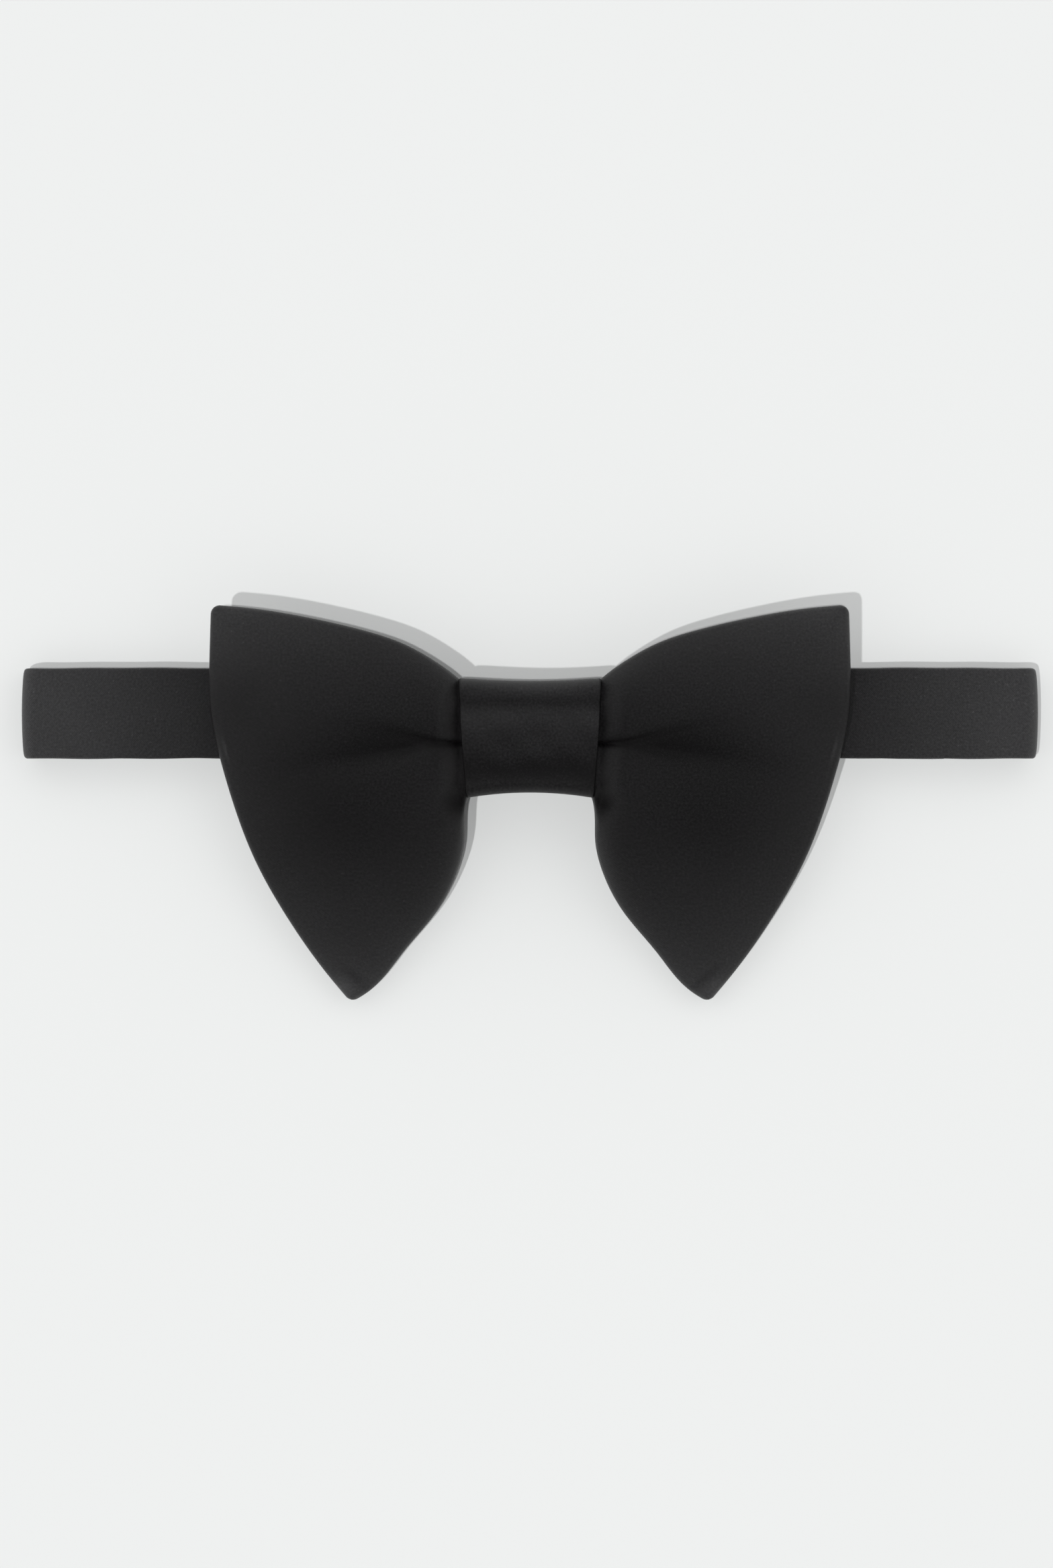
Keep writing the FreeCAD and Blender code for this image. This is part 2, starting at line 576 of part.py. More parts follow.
def knot_ring(label, outside, inside):
    """Closed ring of cloth round the waist and the front strand, narrower at its lower edge."""
    body = new_body(label)
    section = plane_sketch(body, "YZ_Plane", "section", "-Sizes.knot_top_half")
    rounded_frame(section, outside)
    rounded_frame(section, inside)
    pad(body, section, "2 * Sizes.knot_top_half")
    top, bottom = number("Sizes.knot_top"), -number("Sizes.knot_bottom")
    top_half, bottom_half = number("Sizes.knot_top_half"), number("Sizes.knot_bottom_half")
    sides = plane_sketch(body, "XY_Plane", "sides")
    beyond = top_half + number("Sizes.knot_round")
    for side in (-1, 1):
        corners = [(top_half, top), (bottom_half, bottom), (beyond, bottom), (beyond, top)]
        polygon(sides, [(side * x, y) for x, y in corners])
    cut_through(body, sides)


def knot():
    satin, lining_depth = number("Sizes.knot_wall"), number("Sizes.knot_lining")
    knot_ring("knot_wrap", 0, satin)
    knot_ring("knot_interlining", satin, satin + lining_depth)
    count = int(number("(Sizes.knot_top + Sizes.knot_bottom) / Sizes.stitch_pitch")) - 1
    first = "(-Sizes.knot_bottom + Sizes.knot_back_round + Sizes.stitch_edge)"
    z = f"{KNOT_LOW} - Sizes.stitch_height"
    places = [("-Sizes.stitch_length / 2", f"{first} + {i} * Sizes.stitch_pitch", z) for i in range(count)]
    stitches("knot_seam_stitches", places, True)


# Shape of a wing as shares of its span (knot to outer edge) and of its rise or its drop.
WING_SHAPE = {
    "arch": (0.364, 0.834),
    "corner": (0.992, 1.0),
    "side": (1.0, 0.427),
    "hip": (0.956, -0.004),
    "flank": (0.859, -0.310),
    "calf": (0.693, -0.645),
    "tip": (0.422, -1.0),
    "inner_end": (0.135, -0.702),
    "inner_bend": (0.002, -0.477),
    "inner_root": (-0.034, -0.219),
}


def wing_point(name):
    along, up = WING_SHAPE[name]
    start = number("Sizes.knot_top_half + Sizes.wing_gap")
    span = number("Sizes.bow_half_width") - start
    reach = number("Sizes.wing_rise") if up > 0 else number("Sizes.wing_drop")
    return Vector(start + along * span, up * reach, 0)


def bow_outline(sketch):
    """Both wings and the waist between them, as one closed outline."""
    shoulder = number("Sizes.knot_top_half + Sizes.wing_gap")
    armpit = number("Sizes.knot_bottom_half + Sizes.wing_gap")
    waist_top, waist_bottom = number(WAIST_TOP), -number(WAIST_BOTTOM)
    root_bottom = Vector(armpit, -number(ROOT_BOTTOM), 0)
    root_top = Vector(shoulder, number(ROOT_TOP), 0)
    p = {name: wing_point(name) for name in WING_SHAPE}
    half = [
        (Vector(0, waist_top, 0), Vector(shoulder, waist_top, 0)),
        (Vector(shoulder, waist_top, 0), root_top),
        (root_top, p["arch"], p["corner"]),
        (p["corner"], p["side"]),
        (p["side"], p["hip"], p["flank"]),
        (p["flank"], p["calf"], p["tip"]),
        (p["tip"], p["inner_end"]),
        (p["inner_end"], p["inner_bend"], p["inner_root"]),
        (p["inner_root"], root_bottom),
        (root_bottom, Vector(armpit, waist_bottom, 0)),
        (Vector(armpit, waist_bottom, 0), Vector(0, waist_bottom, 0)),
    ]
    mirrored = [tuple(Vector(-point.x, point.y, 0) for point in reversed(piece)) for piece in reversed(half)]
    outline(sketch, half + mirrored)


def crown_profile(sketch, drop):
    """Everything above the bow's front, seen from below: flat waist, full wings, thinner outer edges."""
    shoulder = number("Sizes.knot_top_half + Sizes.wing_gap")
    edge = number("Sizes.bow_half_width") + number("Sizes.panel_wall")
    full = (shoulder + edge) / 2
    waist = number("Sizes.waist_depth") - drop
    crown = number("Sizes.wing_depth") - drop
    rim = number("Sizes.wing_edge_depth") - drop
    above = crown + number("Sizes.wing_depth")
    right = (Vector(shoulder, waist, 0), Vector(full, crown, 0), Vector(edge, rim, 0))
    left = tuple(Vector(-point.x, point.y, 0) for point in reversed(right))
    top_right, top_left = Vector(edge, above, 0), Vector(-edge, above, 0)
    roof = [(right[2], top_right), (top_right, top_left), (top_left, left[0])]
    outline(sketch, [right] + roof + [left, (left[2], right[0])])


def corner_edges(shape):
    """Names of the upright edges at the wings' tips and upper corners."""
    corners = [tuple(wing_point("corner")), tuple(wing_point("tip"))]
    names = []
    for i, edge in enumerate(shape.Edges, start=1):
        ends = [tuple(vertex.Point) for vertex in edge.Vertexes]
        upright = len(ends) == 2 and math.dist(ends[0][:2], ends[1][:2]) < SAME_PLACE
        if upright and any(math.dist((abs(ends[0][0]), ends[0][1]), c[:2]) < SAME_PLACE for c in corners):
            names.append(f"Edge{i}")
    return names


def rim_edges(shape):
    """Names of the edges round the front of both wings, outside the knot."""
    shoulder = number("Sizes.knot_top_half + Sizes.wing_gap")
    low = number("2 * Sizes.panel_wall")
    names = []
    for i, edge in enumerate(shape.Edges, start=1):
        if edge.BoundBox.ZMin > low and abs(edge.CenterOfMass.x) > shoulder + low:
            names.append(f"Edge{i}")
    return names


def dress_edges(body, feature, edges, kind, size_name, amount):
    """Fillet or chamfer on the named edges of a feature."""
    dressed = body.newObject(f"PartDesign::{kind}", f"{feature.Name}_{kind.lower()}")
    dressed.Base = (feature, edges)
    dressed.setExpression(size_name, amount)
    doc.recompute()
    return dressed


def round_corners(body, feature):
    return dress_edges(body, feature, corner_edges(feature.Shape), "Fillet", "Radius", "Sizes.tip_round")


def lean(thing):
    """Leans a piece of the bow from the band's lower edge down to the resting plane at the tips."""
    slope = math.degrees(math.asin(number(LEAN_HEIGHT) / number("Sizes.wing_drop")))
    thing.Placement = FreeCAD.Placement(Vector(0, 0, 0), Rotation(Vector(1, 0, 0), slope))
    thing.setExpression("Placement.Base.y", BAND_LOW)
    thing.setExpression("Placement.Base.z", LEAN_HEIGHT)
    return thing


def back_panel():
    body = new_body("bow_back_panel")
    sketch = plane_sketch(body, "XY_Plane", "outline")
    bow_outline(sketch)
    feature = pad(body, sketch, "Sizes.panel_wall")
    round_corners(body, feature)
    lean(body)


def inner_outline(name, inset, base):
    """The bow's outline moved inwards, at a height above the back of the back panel."""
    sketch = doc.addObject("Sketcher::SketchObject", f"{name}_outline")
    bow_outline(sketch)
    sketch.setExpression("Placement.Base.z", base)
    inner = doc.addObject("Part::Offset2D", f"{name}_inset")
    inner.Source = sketch
    inner.setExpression("Value", f"-{inset}")
    inner.Join = "Tangent"
    return inner


def raised(name, profile, height):
    solid = doc.addObject("Part::Extrusion", name)
    solid.Base = profile
    solid.DirMode = "Custom"
    solid.Dir = Vector(0, 0, 1)
    solid.setExpression("LengthFwd", height)
    solid.Solid = True
    return solid


def interlining():
    inner = inner_outline("bow_interlining", "Sizes.bow_lining_inset", "Sizes.panel_wall")
    sheet_piece = raised("bow_interlining", inner, "Sizes.bow_lining")
    keep(sheet_piece, "bow_interlining")
    doc.recompute()
    lean(sheet_piece)


def front_panel():
    """Front satin, a shallow shell: an outer solid less the same shape one wall smaller."""
    outer = doc.addObject("PartDesign::Body", "bow_front_outside")
    sketch = plane_sketch(outer, "XY_Plane", "outline", "Sizes.panel_wall")
    bow_outline(sketch)
    pad(outer, sketch, "Sizes.wing_depth")
    crown = plane_sketch(outer, "XZ_Plane", "crown")
    crown_profile(crown, 0)
    crowned = cut_through(outer, crown)
    cornered = round_corners(outer, crowned)
    dress_edges(outer, cornered, rim_edges(cornered.Shape), "Chamfer", "Size", "Sizes.rim_bevel")

    hollow = raised("bow_front_hollow", inner_outline("bow_front", "Sizes.panel_wall", "Sizes.panel_wall"),
                    "Sizes.wing_depth")
    ceiling = doc.addObject("PartDesign::Body", "bow_front_ceiling")
    above = plane_sketch(ceiling, "XZ_Plane", "ceiling", "-Sizes.wing_drop - Sizes.wing_rise")
    crown_profile(above, number("Sizes.panel_wall"))
    pad(ceiling, above, "3 * (Sizes.wing_drop + Sizes.wing_rise)")
    cavity = doc.addObject("Part::Cut", "bow_front_cavity")
    cavity.Base = hollow
    cavity.Tool = ceiling
    shell = doc.addObject("Part::Cut", "bow_front_panel")
    shell.Base = outer
    shell.Tool = cavity
    keep(shell, "bow_front_panel")
    doc.recompute()
    lean(shell)


def waist_thread():
    """Turns of thread that gather the waist, as one flat ring."""
    body = new_body("waist_thread")
    section = plane_sketch(body, "YZ_Plane", "section", "-Sizes.thread_width / 2")
    for wall in ("(Sizes.thread_play + Sizes.thread_wall)", "Sizes.thread_play"):
        rectangle(section, f"-{WAIST_BOTTOM} - {wall}", f"{WAIST_TOP} + {wall}",
                  f"-{wall}", f"Sizes.waist_depth + {wall}")
    pad(body, section, "Sizes.thread_width")
    lean(body)


def build():
    front_panel()
    back_panel()
    interlining()
    waist_thread()
    knot()
    front_strand()
    care_label()
    fold("band_left_fold", -1)
    left_strand()
    hook_loop()
    hook()
    fold("band_right_fold", 1)
    right_strand()
    eye()
    eye_strand()
    strap_through_slider()
    return_strand()
    slider()
    end_loop()
    doc.recompute()


def check_and_write():
    for thing in doc.Objects:
        if "Invalid" in thing.State or "Error" in thing.State:
            raise RuntimeError(f"{thing.Name} is {thing.State}")
    for piece in subparts:
        if piece.Shape.isNull() or not piece.Shape.isValid():
            raise RuntimeError(f"{piece.Label} has no valid shape")
    os.makedirs("parts", exist_ok=True)
    for piece in subparts:
        piece.Shape.exportStep(f"parts/{piece.Label}.step")
        box = piece.Shape.BoundBox
        places = " ".join(f"{low:.2f}..{high:.2f}" for low, high in
                          ((box.XMin, box.XMax), (box.YMin, box.YMax), (box.ZMin, box.ZMax)))
        print(f"{piece.Label}: {len(piece.Shape.Solids)} solid(s), {piece.Shape.Volume:.2f} mm3, {places}")


build()
check_and_write()
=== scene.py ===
import math

import bmesh
import bpy
import numpy as np
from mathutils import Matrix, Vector


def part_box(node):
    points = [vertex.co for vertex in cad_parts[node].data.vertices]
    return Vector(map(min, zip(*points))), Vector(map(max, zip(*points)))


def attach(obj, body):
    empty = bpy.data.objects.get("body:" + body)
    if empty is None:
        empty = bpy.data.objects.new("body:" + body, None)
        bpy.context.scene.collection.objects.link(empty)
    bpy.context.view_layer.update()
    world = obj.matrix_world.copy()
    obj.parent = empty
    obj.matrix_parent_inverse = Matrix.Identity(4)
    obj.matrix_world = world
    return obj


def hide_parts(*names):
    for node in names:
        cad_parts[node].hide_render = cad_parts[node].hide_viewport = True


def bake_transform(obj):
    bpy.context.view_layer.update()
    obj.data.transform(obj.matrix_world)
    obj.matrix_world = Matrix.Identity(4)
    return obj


# A black satin bow tie on its closed neckband. Lengths in the dictionaries are millimetres,
# X along the band, Y up the face of the bow, Z out of it.

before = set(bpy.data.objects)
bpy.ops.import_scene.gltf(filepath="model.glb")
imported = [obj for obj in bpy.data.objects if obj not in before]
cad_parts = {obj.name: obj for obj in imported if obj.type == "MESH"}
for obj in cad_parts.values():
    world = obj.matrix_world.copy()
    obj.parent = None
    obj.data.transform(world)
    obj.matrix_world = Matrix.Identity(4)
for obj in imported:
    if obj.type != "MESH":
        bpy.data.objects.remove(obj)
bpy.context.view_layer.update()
mm = 0.001


# A node's lowest and highest corners in millimetres.
def boxOf(node):
    low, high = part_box(node)
    return np.array(low) / mm, np.array(high) / mm


print("frame loaded")


# Shapes worked out as whole arrays

# 0 before 0, 1 after 1, and 3x^2 - 2x^3 between.
def smoothStep(x):
    x = np.clip(x, 0, 1)
    return x * x * (3 - 2 * x)


# Bell curve, 1 at its centre.
def bump(x, centre, width):
    return np.exp(-((x - centre) / width) ** 2)


# Curve through a few points at shares 0..1 of its length: a natural cubic spline on chord length.
def curveThrough(points, share):
    p = np.array(points, float)
    knots = np.concatenate([[0], np.cumsum(np.linalg.norm(np.diff(p, axis=0), axis=1))])
    gap = np.diff(knots)
    count = len(p)
    inner = np.arange(1, count - 1)
    system = np.eye(count)
    system[inner, inner - 1] = gap[:-1]
    system[inner, inner] = 2 * (gap[:-1] + gap[1:])
    system[inner, inner + 1] = gap[1:]
    right = np.zeros_like(p)
    right[1:-1] = 6 * np.diff(np.diff(p, axis=0) / gap[:, None], axis=0)
    bend = np.linalg.solve(system, right)
    at = np.asarray(share) * knots[-1]
    k = np.clip(np.searchsorted(knots, at, side="right") - 1, 0, count - 2)
    after, before, h = (knots[k + 1] - at)[:, None], (at - knots[k])[:, None], gap[k][:, None]
    return ((bend[k] * after ** 3 + bend[k + 1] * before ** 3) / (6 * h)
            + (p[k] / h - bend[k] * h / 6) * after + (p[k + 1] / h - bend[k + 1] * h / 6) * before)


# Straight runs joined by tangent arcs: (a, b, radius) at each corner, points about a step apart.
def roundedRoute(corners, step, closed=False, arcPoints=10):
    p = np.array([c[:2] for c in corners], float)
    radii = [c[2] for c in corners]
    count = len(p)
    made = []
    last = None
    for i in range(count):
        if not closed and i in (0, count - 1):
            start = end = p[i]
            arc = p[i][None, :]
        else:
            into, out = p[i] - p[i - 1], p[(i + 1) % count] - p[i]
            into, out = into / np.linalg.norm(into), out / np.linalg.norm(out)
            turn = math.atan2(into[0] * out[1] - into[1] * out[0], into @ out)
            reach = radii[i] * math.tan(abs(turn) / 2)
            start = p[i] - into * reach
            side = np.array([-into[1], into[0]]) * math.copysign(1, turn)
            angle = np.linspace(0, abs(turn), arcPoints)[:, None]
            arc = start + radii[i] * (np.sin(angle) * into + (1 - np.cos(angle)) * side)
            end = arc[-1]
        if last is not None:
            fill = max(int(np.linalg.norm(start - last) / step), 1)
            made.append(last + (start - last) * (np.arange(1, fill) / fill)[:, None])
        made.append(arc)
        last = end
    if closed:
        first = made[0][0]
        fill = max(int(np.linalg.norm(first - last) / step), 1)
        made.append(last + (first - last) * (np.arange(1, fill) / fill)[:, None])
    return np.concatenate(made)


# Length along a row of points.
def travel(points):
    return np.concatenate([[0], np.cumsum(np.linalg.norm(np.diff(points, axis=0), axis=1))])


# Unit normals of a plane path: its direction turned a quarter to the left.
def sideways(points, closed=False):
    if closed:
        along = np.roll(points, -1, axis=0) - np.roll(points, 1, axis=0)
    else:
        along = np.gradient(points, axis=0)
    along = along / np.linalg.norm(along, axis=1)[:, None]
    return np.stack([-along[:, 1], along[:, 0]], 1)


# Shares 0..1, packed towards both ends: a mix of even steps and half a cosine.
def denseEnds(count, power):
    t = np.linspace(0, 1, count)
    return (1 - power) * t + power * (0.5 - 0.5 * np.cos(math.pi * t))


# Quads between neighbouring points of a grid, carried round where it closes.
def gridFaces(rows, columns, closeRows=False, closeColumns=False):
    a = np.arange(rows if closeRows else rows - 1)[:, None]
    b = np.arange(columns if closeColumns else columns - 1)[None, :]
    nextA, nextB = (a + 1) % rows, (b + 1) % columns
    corners = [a * columns + b, nextA * columns + b, nextA * columns + nextB, a * columns + nextB]
    return np.stack([np.broadcast_to(c, (a.size, b.size)) for c in corners], -1).reshape(-1, 4)


# Unit normals of a grid surface, from its differences both ways.
def gridNormals(points):
    across = np.cross(np.gradient(points, axis=0), np.gradient(points, axis=1))
    return across / np.maximum(np.linalg.norm(across, axis=2), 1e-12)[..., None]


# Closed sheet: the grid surface, a second layer one thickness behind it, and the rim between them.
def thickSheet(points, thickness):
    rows, columns = points.shape[:2]
    outer = points.reshape(-1, 3)
    inner = (points - gridNormals(points) * thickness).reshape(-1, 3)
    faces = gridFaces(rows, columns)
    index = np.arange(rows * columns).reshape(rows, columns)
    border = np.concatenate([index[:-1, 0], index[-1, :-1], index[:0:-1, -1], index[0, :0:-1]])
    after = np.roll(border, -1)
    shift = rows * columns
    rim = np.stack([after, border, border + shift, after + shift], 1)
    return np.concatenate([outer, inner]), np.concatenate([faces, faces[:, ::-1] + shift, rim])


# Mesh piece from points in millimetres, with a cloth UV in millimetres and its tone attribute.
def makePiece(name, points, faces, uv, material, tone=None):
    mesh = bpy.data.meshes.new(name)
    mesh.vertices.add(len(points))
    mesh.vertices.foreach_set("co", (np.asarray(points) * mm).astype(np.float32).ravel())
    mesh.loops.add(faces.size)
    mesh.loops.foreach_set("vertex_index", faces.astype(np.int32).ravel())
    mesh.polygons.add(len(faces))
    mesh.polygons.foreach_set("loop_start", np.arange(0, faces.size, 4, dtype=np.int32))
    mesh.update(calc_edges=True)
    mesh.validate()
    layer = mesh.uv_layers.new(name="cloth")
    layer.data.foreach_set("uv", np.asarray(uv)[faces.ravel()].astype(np.float32).ravel())
    values = np.zeros(len(points)) if tone is None else np.asarray(tone)
    mesh.attributes.new("tone", "FLOAT", "POINT").data.foreach_set("value", values.astype(np.float32).ravel())
    shell = bmesh.new()
    shell.from_mesh(mesh)
    bmesh.ops.recalc_face_normals(shell, faces=shell.faces)
    shell.to_mesh(mesh)
    shell.free()
    mesh.shade_smooth()
    mesh.materials.append(material)
    piece = bpy.data.objects.new(name, mesh)
    bpy.context.scene.collection.objects.link(piece)
    return piece


# Materials

# A node material, with its nodes, its links and its Principled shader.
def newMaterial(name):
    material = bpy.data.materials.new(name)
    material.use_nodes = True
    nodes = material.node_tree.nodes
    return material, nodes, material.node_tree.links, nodes["Principled BSDF"]


# One math node's output; each input is a number or another node's output.
def mathNode(nodes, links, kind, first, second=None):
    node = nodes.new("ShaderNodeMath")
    node.operation = kind
    for socket, value in zip(node.inputs, (first, second)):
        if value is None:
            continue
        if isinstance(value, (int, float)):
            socket.default_value = value
        else:
            links.new(value, socket)
    return node.outputs[0]


satinLook = {
    "colour": (0.0012, 0.0009, 0.0012),
    "lift": (0.050, 0.0495, 0.051),  # colour where the tone attribute is 1
    "roughness": 0.45,
    "roughnessSpread": 0.16,
    "specular": 0.31,
    "twillPeriod": 0.31,  # millimetres
    "twillAngle": 40,
    "threadPeriod": 0.15,
    "threadShare": 0.4,  # of the twill's relief
    "relief": 0.016,  # millimetres
    "speckRelief": 1.2,
    "speckScale": 2.1,
    "speckle": 0.36,
    "speckWeight": 2.4,  # what each adds to the brightness, times the speckle
    "patchWeight": 0.6,
    "twillWeight": 0.35,
    "patchScale": 0.12,
    "grain": 0.30,  # unevenness of the tone
    "lint": 0.6,
    "lintScale": 1.3,
    "lintFrom": 0.69,  # noise above this shows as lint
    "lintTo": 0.75,
}


# Twill sines along two directions of the cloth's UV for relief, with noise for speckle and slub.
def satin(name, look):
    material, nodes, links, shader = newMaterial(name)
    uv = nodes.new("ShaderNodeUVMap")
    uv.uv_map = "cloth"
    part = nodes.new("ShaderNodeSeparateXYZ")
    links.new(uv.outputs[0], part.inputs[0])
    along, across = part.outputs[0], part.outputs[1]

    def wave(angle, period):
        turn = math.radians(angle)
        a = mathNode(nodes, links, "MULTIPLY", along, 2 * math.pi * math.cos(turn) / period)
        b = mathNode(nodes, links, "MULTIPLY", across, 2 * math.pi * math.sin(turn) / period)
        return mathNode(nodes, links, "SINE", mathNode(nodes, links, "ADD", a, b))

    twill = wave(look["twillAngle"], look["twillPeriod"])
    thread = wave(90, look["threadPeriod"])
    fine = mathNode(nodes, links, "MULTIPLY", thread, look["threadShare"])
    relief = mathNode(nodes, links, "ADD", twill, fine)

    def noise(scale, detail):
        node = nodes.new("ShaderNodeTexNoise")
        node.inputs["Scale"].default_value = scale
        node.inputs["Detail"].default_value = detail
        links.new(uv.outputs[0], node.inputs["Vector"])
        return node.outputs["Fac"]

    speck = noise(look["speckScale"], 3.0)
    grain = mathNode(nodes, links, "MULTIPLY", speck, look["speckWeight"] * look["speckle"])
    shade = mathNode(nodes, links, "MULTIPLY", twill, look["twillWeight"] * look["speckle"])
    broad = noise(look["patchScale"], 2.0)
    patch = mathNode(nodes, links, "MULTIPLY", broad, look["patchWeight"] * look["speckle"])
    factor = mathNode(nodes, links, "ADD", mathNode(nodes, links, "ADD", grain, shade), patch)
    noiseMean = (look["speckWeight"] + look["patchWeight"]) / 2 * look["speckle"]
    factor = mathNode(nodes, links, "ADD", factor, 1 - noiseMean)
    fluff = nodes.new("ShaderNodeMapRange")
    fluff.inputs["From Min"].default_value = look["lintFrom"]
    fluff.inputs["From Max"].default_value = look["lintTo"]
    fluff.inputs["To Max"].default_value = look["lint"]
    links.new(noise(look["lintScale"], 1.0), fluff.inputs["Value"])
    factor = mathNode(nodes, links, "ADD", factor, fluff.outputs[0])

    # The tone attribute carries painted light and shade; it mixes the colour towards the lift.
    tone = nodes.new("ShaderNodeAttribute")
    tone.attribute_name = "tone"
    mix = nodes.new("ShaderNodeMix")
    mix.data_type = "RGBA"
    mix.inputs[6].default_value = (*look["colour"], 1)
    mix.inputs[7].default_value = (*look["lift"], 1)
    uneven = mathNode(nodes, links, "MULTIPLY", mathNode(nodes, links, "SUBTRACT", speck, 0.5), look["grain"])
    links.new(mathNode(nodes, links, "ADD", tone.outputs["Fac"], uneven), mix.inputs[0])
    scale = nodes.new("ShaderNodeVectorMath")
    scale.operation = "SCALE"
    links.new(mix.outputs[2], scale.inputs[0])
    links.new(factor, scale.inputs["Scale"])
    links.new(scale.outputs[0], shader.inputs["Base Color"])

    rough = mathNode(nodes, links, "MULTIPLY", speck, look["roughnessSpread"])
    rough = mathNode(nodes, links, "ADD", rough, look["roughness"] - look["roughnessSpread"] / 2)
    links.new(rough, shader.inputs["Roughness"])
    shader.inputs["Specular IOR Level"].default_value = look["specular"]

    height = mathNode(nodes, links, "MULTIPLY", speck, look["speckRelief"])
    height = mathNode(nodes, links, "ADD", relief, height)
    lift = nodes.new("ShaderNodeBump")
    lift.inputs["Strength"].default_value = 1.0
    lift.inputs["Distance"].default_value = look["relief"] * mm
    links.new(height, lift.inputs["Height"])
    links.new(lift.outputs[0], shader.inputs["Normal"])
    return material


# Noise and a fine cross of sines in Object coordinates, for thread, ribbon and interlining.
def plainCloth(name, colour, roughness, scale, relief):
    material, nodes, links, shader = newMaterial(name)
    place = nodes.new("ShaderNodeTexCoord")
    noise = nodes.new("ShaderNodeTexNoise")
    noise.inputs["Scale"].default_value = scale
    noise.inputs["Detail"].default_value = 4.0
    links.new(place.outputs["Object"], noise.inputs["Vector"])
    part = nodes.new("ShaderNodeSeparateXYZ")
    links.new(place.outputs["Object"], part.inputs[0])
    rows = mathNode(nodes, links, "SINE", mathNode(nodes, links, "MULTIPLY", part.outputs[0], scale * 5))
    columns = mathNode(nodes, links, "SINE", mathNode(nodes, links, "MULTIPLY", part.outputs[1], scale * 5))
    weave = mathNode(nodes, links, "MULTIPLY", rows, columns)
    ramp = nodes.new("ShaderNodeMix")
    ramp.data_type = "RGBA"
    ramp.inputs[6].default_value = (*[c * 0.6 for c in colour], 1)
    ramp.inputs[7].default_value = (*[c * 1.4 for c in colour], 1)
    links.new(noise.outputs["Fac"], ramp.inputs[0])
    links.new(ramp.outputs[2], shader.inputs["Base Color"])
    shader.inputs["Roughness"].default_value = roughness
    shader.inputs["Sheen Weight"].default_value = 0.15
    lift = nodes.new("ShaderNodeBump")
    lift.inputs["Distance"].default_value = relief * mm
    links.new(mathNode(nodes, links, "ADD", noise.outputs["Fac"], weave), lift.inputs["Height"])
    links.new(lift.outputs[0], shader.inputs["Normal"])
    return material


nickel = {
    "dark": (0.085, 0.085, 0.092),
    "wearAndHighlight": (0.20, 0.20, 0.21),
    "brushScale": (400, 9000, 9000),
    "wearScale": 260,
    "roughness": 0.18,
    "roughnessSpread": 0.25,
    "edgeRadius": 0.15,  # millimetres, as is the relief
    "relief": 0.004,
}


# Black nickel plate: brushed along X, with a few brighter worn patches and soft rounded edges.
def darkNickel(name):
    material, nodes, links, shader = newMaterial(name)
    place = nodes.new("ShaderNodeTexCoord")
    stretch = nodes.new("ShaderNodeMapping")
    stretch.inputs["Scale"].default_value = nickel["brushScale"]
    links.new(place.outputs["Object"], stretch.inputs["Vector"])
    brush = nodes.new("ShaderNodeTexNoise")
    brush.inputs["Scale"].default_value = 1.0
    brush.inputs["Detail"].default_value = 3.0
    links.new(stretch.outputs[0], brush.inputs["Vector"])
    wear = nodes.new("ShaderNodeTexNoise")
    wear.inputs["Scale"].default_value = nickel["wearScale"]
    wear.inputs["Detail"].default_value = 4.0
    links.new(place.outputs["Object"], wear.inputs["Vector"])
    mix = nodes.new("ShaderNodeMix")
    mix.data_type = "RGBA"
    mix.inputs[6].default_value = (*nickel["dark"], 1)
    mix.inputs[7].default_value = (*nickel["wearAndHighlight"], 1)
    links.new(mathNode(nodes, links, "POWER", wear.outputs["Fac"], 2.0), mix.inputs[0])
    links.new(mix.outputs[2], shader.inputs["Base Color"])
    shader.inputs["Metallic"].default_value = 1.0
    rough = mathNode(nodes, links, "MULTIPLY", brush.outputs["Fac"], nickel["roughnessSpread"])
    links.new(mathNode(nodes, links, "ADD", rough, nickel["roughness"]), shader.inputs["Roughness"])
    edge = nodes.new("ShaderNodeBevel")
    edge.samples = 4
    edge.inputs["Radius"].default_value = nickel["edgeRadius"] * mm
    lift = nodes.new("ShaderNodeBump")
    lift.inputs["Distance"].default_value = nickel["relief"] * mm
    links.new(brush.outputs["Fac"], lift.inputs["Height"])
    links.new(edge.outputs[0], lift.inputs["Normal"])
    links.new(lift.outputs[0], shader.inputs["Normal"])
    return material


wingSatin = satin("wingSatin", {**satinLook, "twillPeriod": 0.24})
knotSatin = satin("knotSatin", {**satinLook, "twillPeriod": 0.24, "specular": 0.335, "grain": 0.42})
bandSatin = satin("bandSatin", satinLook)
threadCloth = plainCloth("blackThread", (0.012, 0.012, 0.013), 0.55, 4000, 0.03)
liningCloth = plainCloth("interlining", (0.10, 0.096, 0.09), 0.9, 1500, 0.05)
ribbonCloth = plainCloth("labelRibbon", (0.045, 0.045, 0.047), 0.6, 2500, 0.03)
metal = darkNickel("darkNickel")
print("materials made")


# Knot

knot = {
    "topHalf": 14.4,
    "bottomHalf": 12.9,
    "top": 7.0,
    "bottom": -17.3,
    "topSag": 0.6,  # how far the upper edge dips in the middle
    "bottomArch": 1.1,
    "sideBulge": 0.2,
    "back": 3.8,
    "front": 13.6,
    "frontDrop": 1.0,  # how much lower the front is at the bottom
    "upperRound": 2.6,
    "lowerRound": 1.7,
    "backRound": 1.5,
    "satin": 0.5,
    "liningInset": 0.55,
    "lining": 0.3,
    "room": 1.45,  # from the face down to what it is wrapped round
    "frontFrom": 8.5,  # above this height the folds begin
    # soft folds across the face: (height, y, width)
    "upperRidge": (0.60, 4.9, 1.8),
    "valley": (-0.34, 2.0, 1.9),
    "broadRidge": (0.50, -1.4, 2.6),
    "dip": (-0.55, -12.2, 2.4),
    "lip": (0.25, -15.3, 1.0),
    "edgeDip": -0.22,
    "tone": 0.175,
}


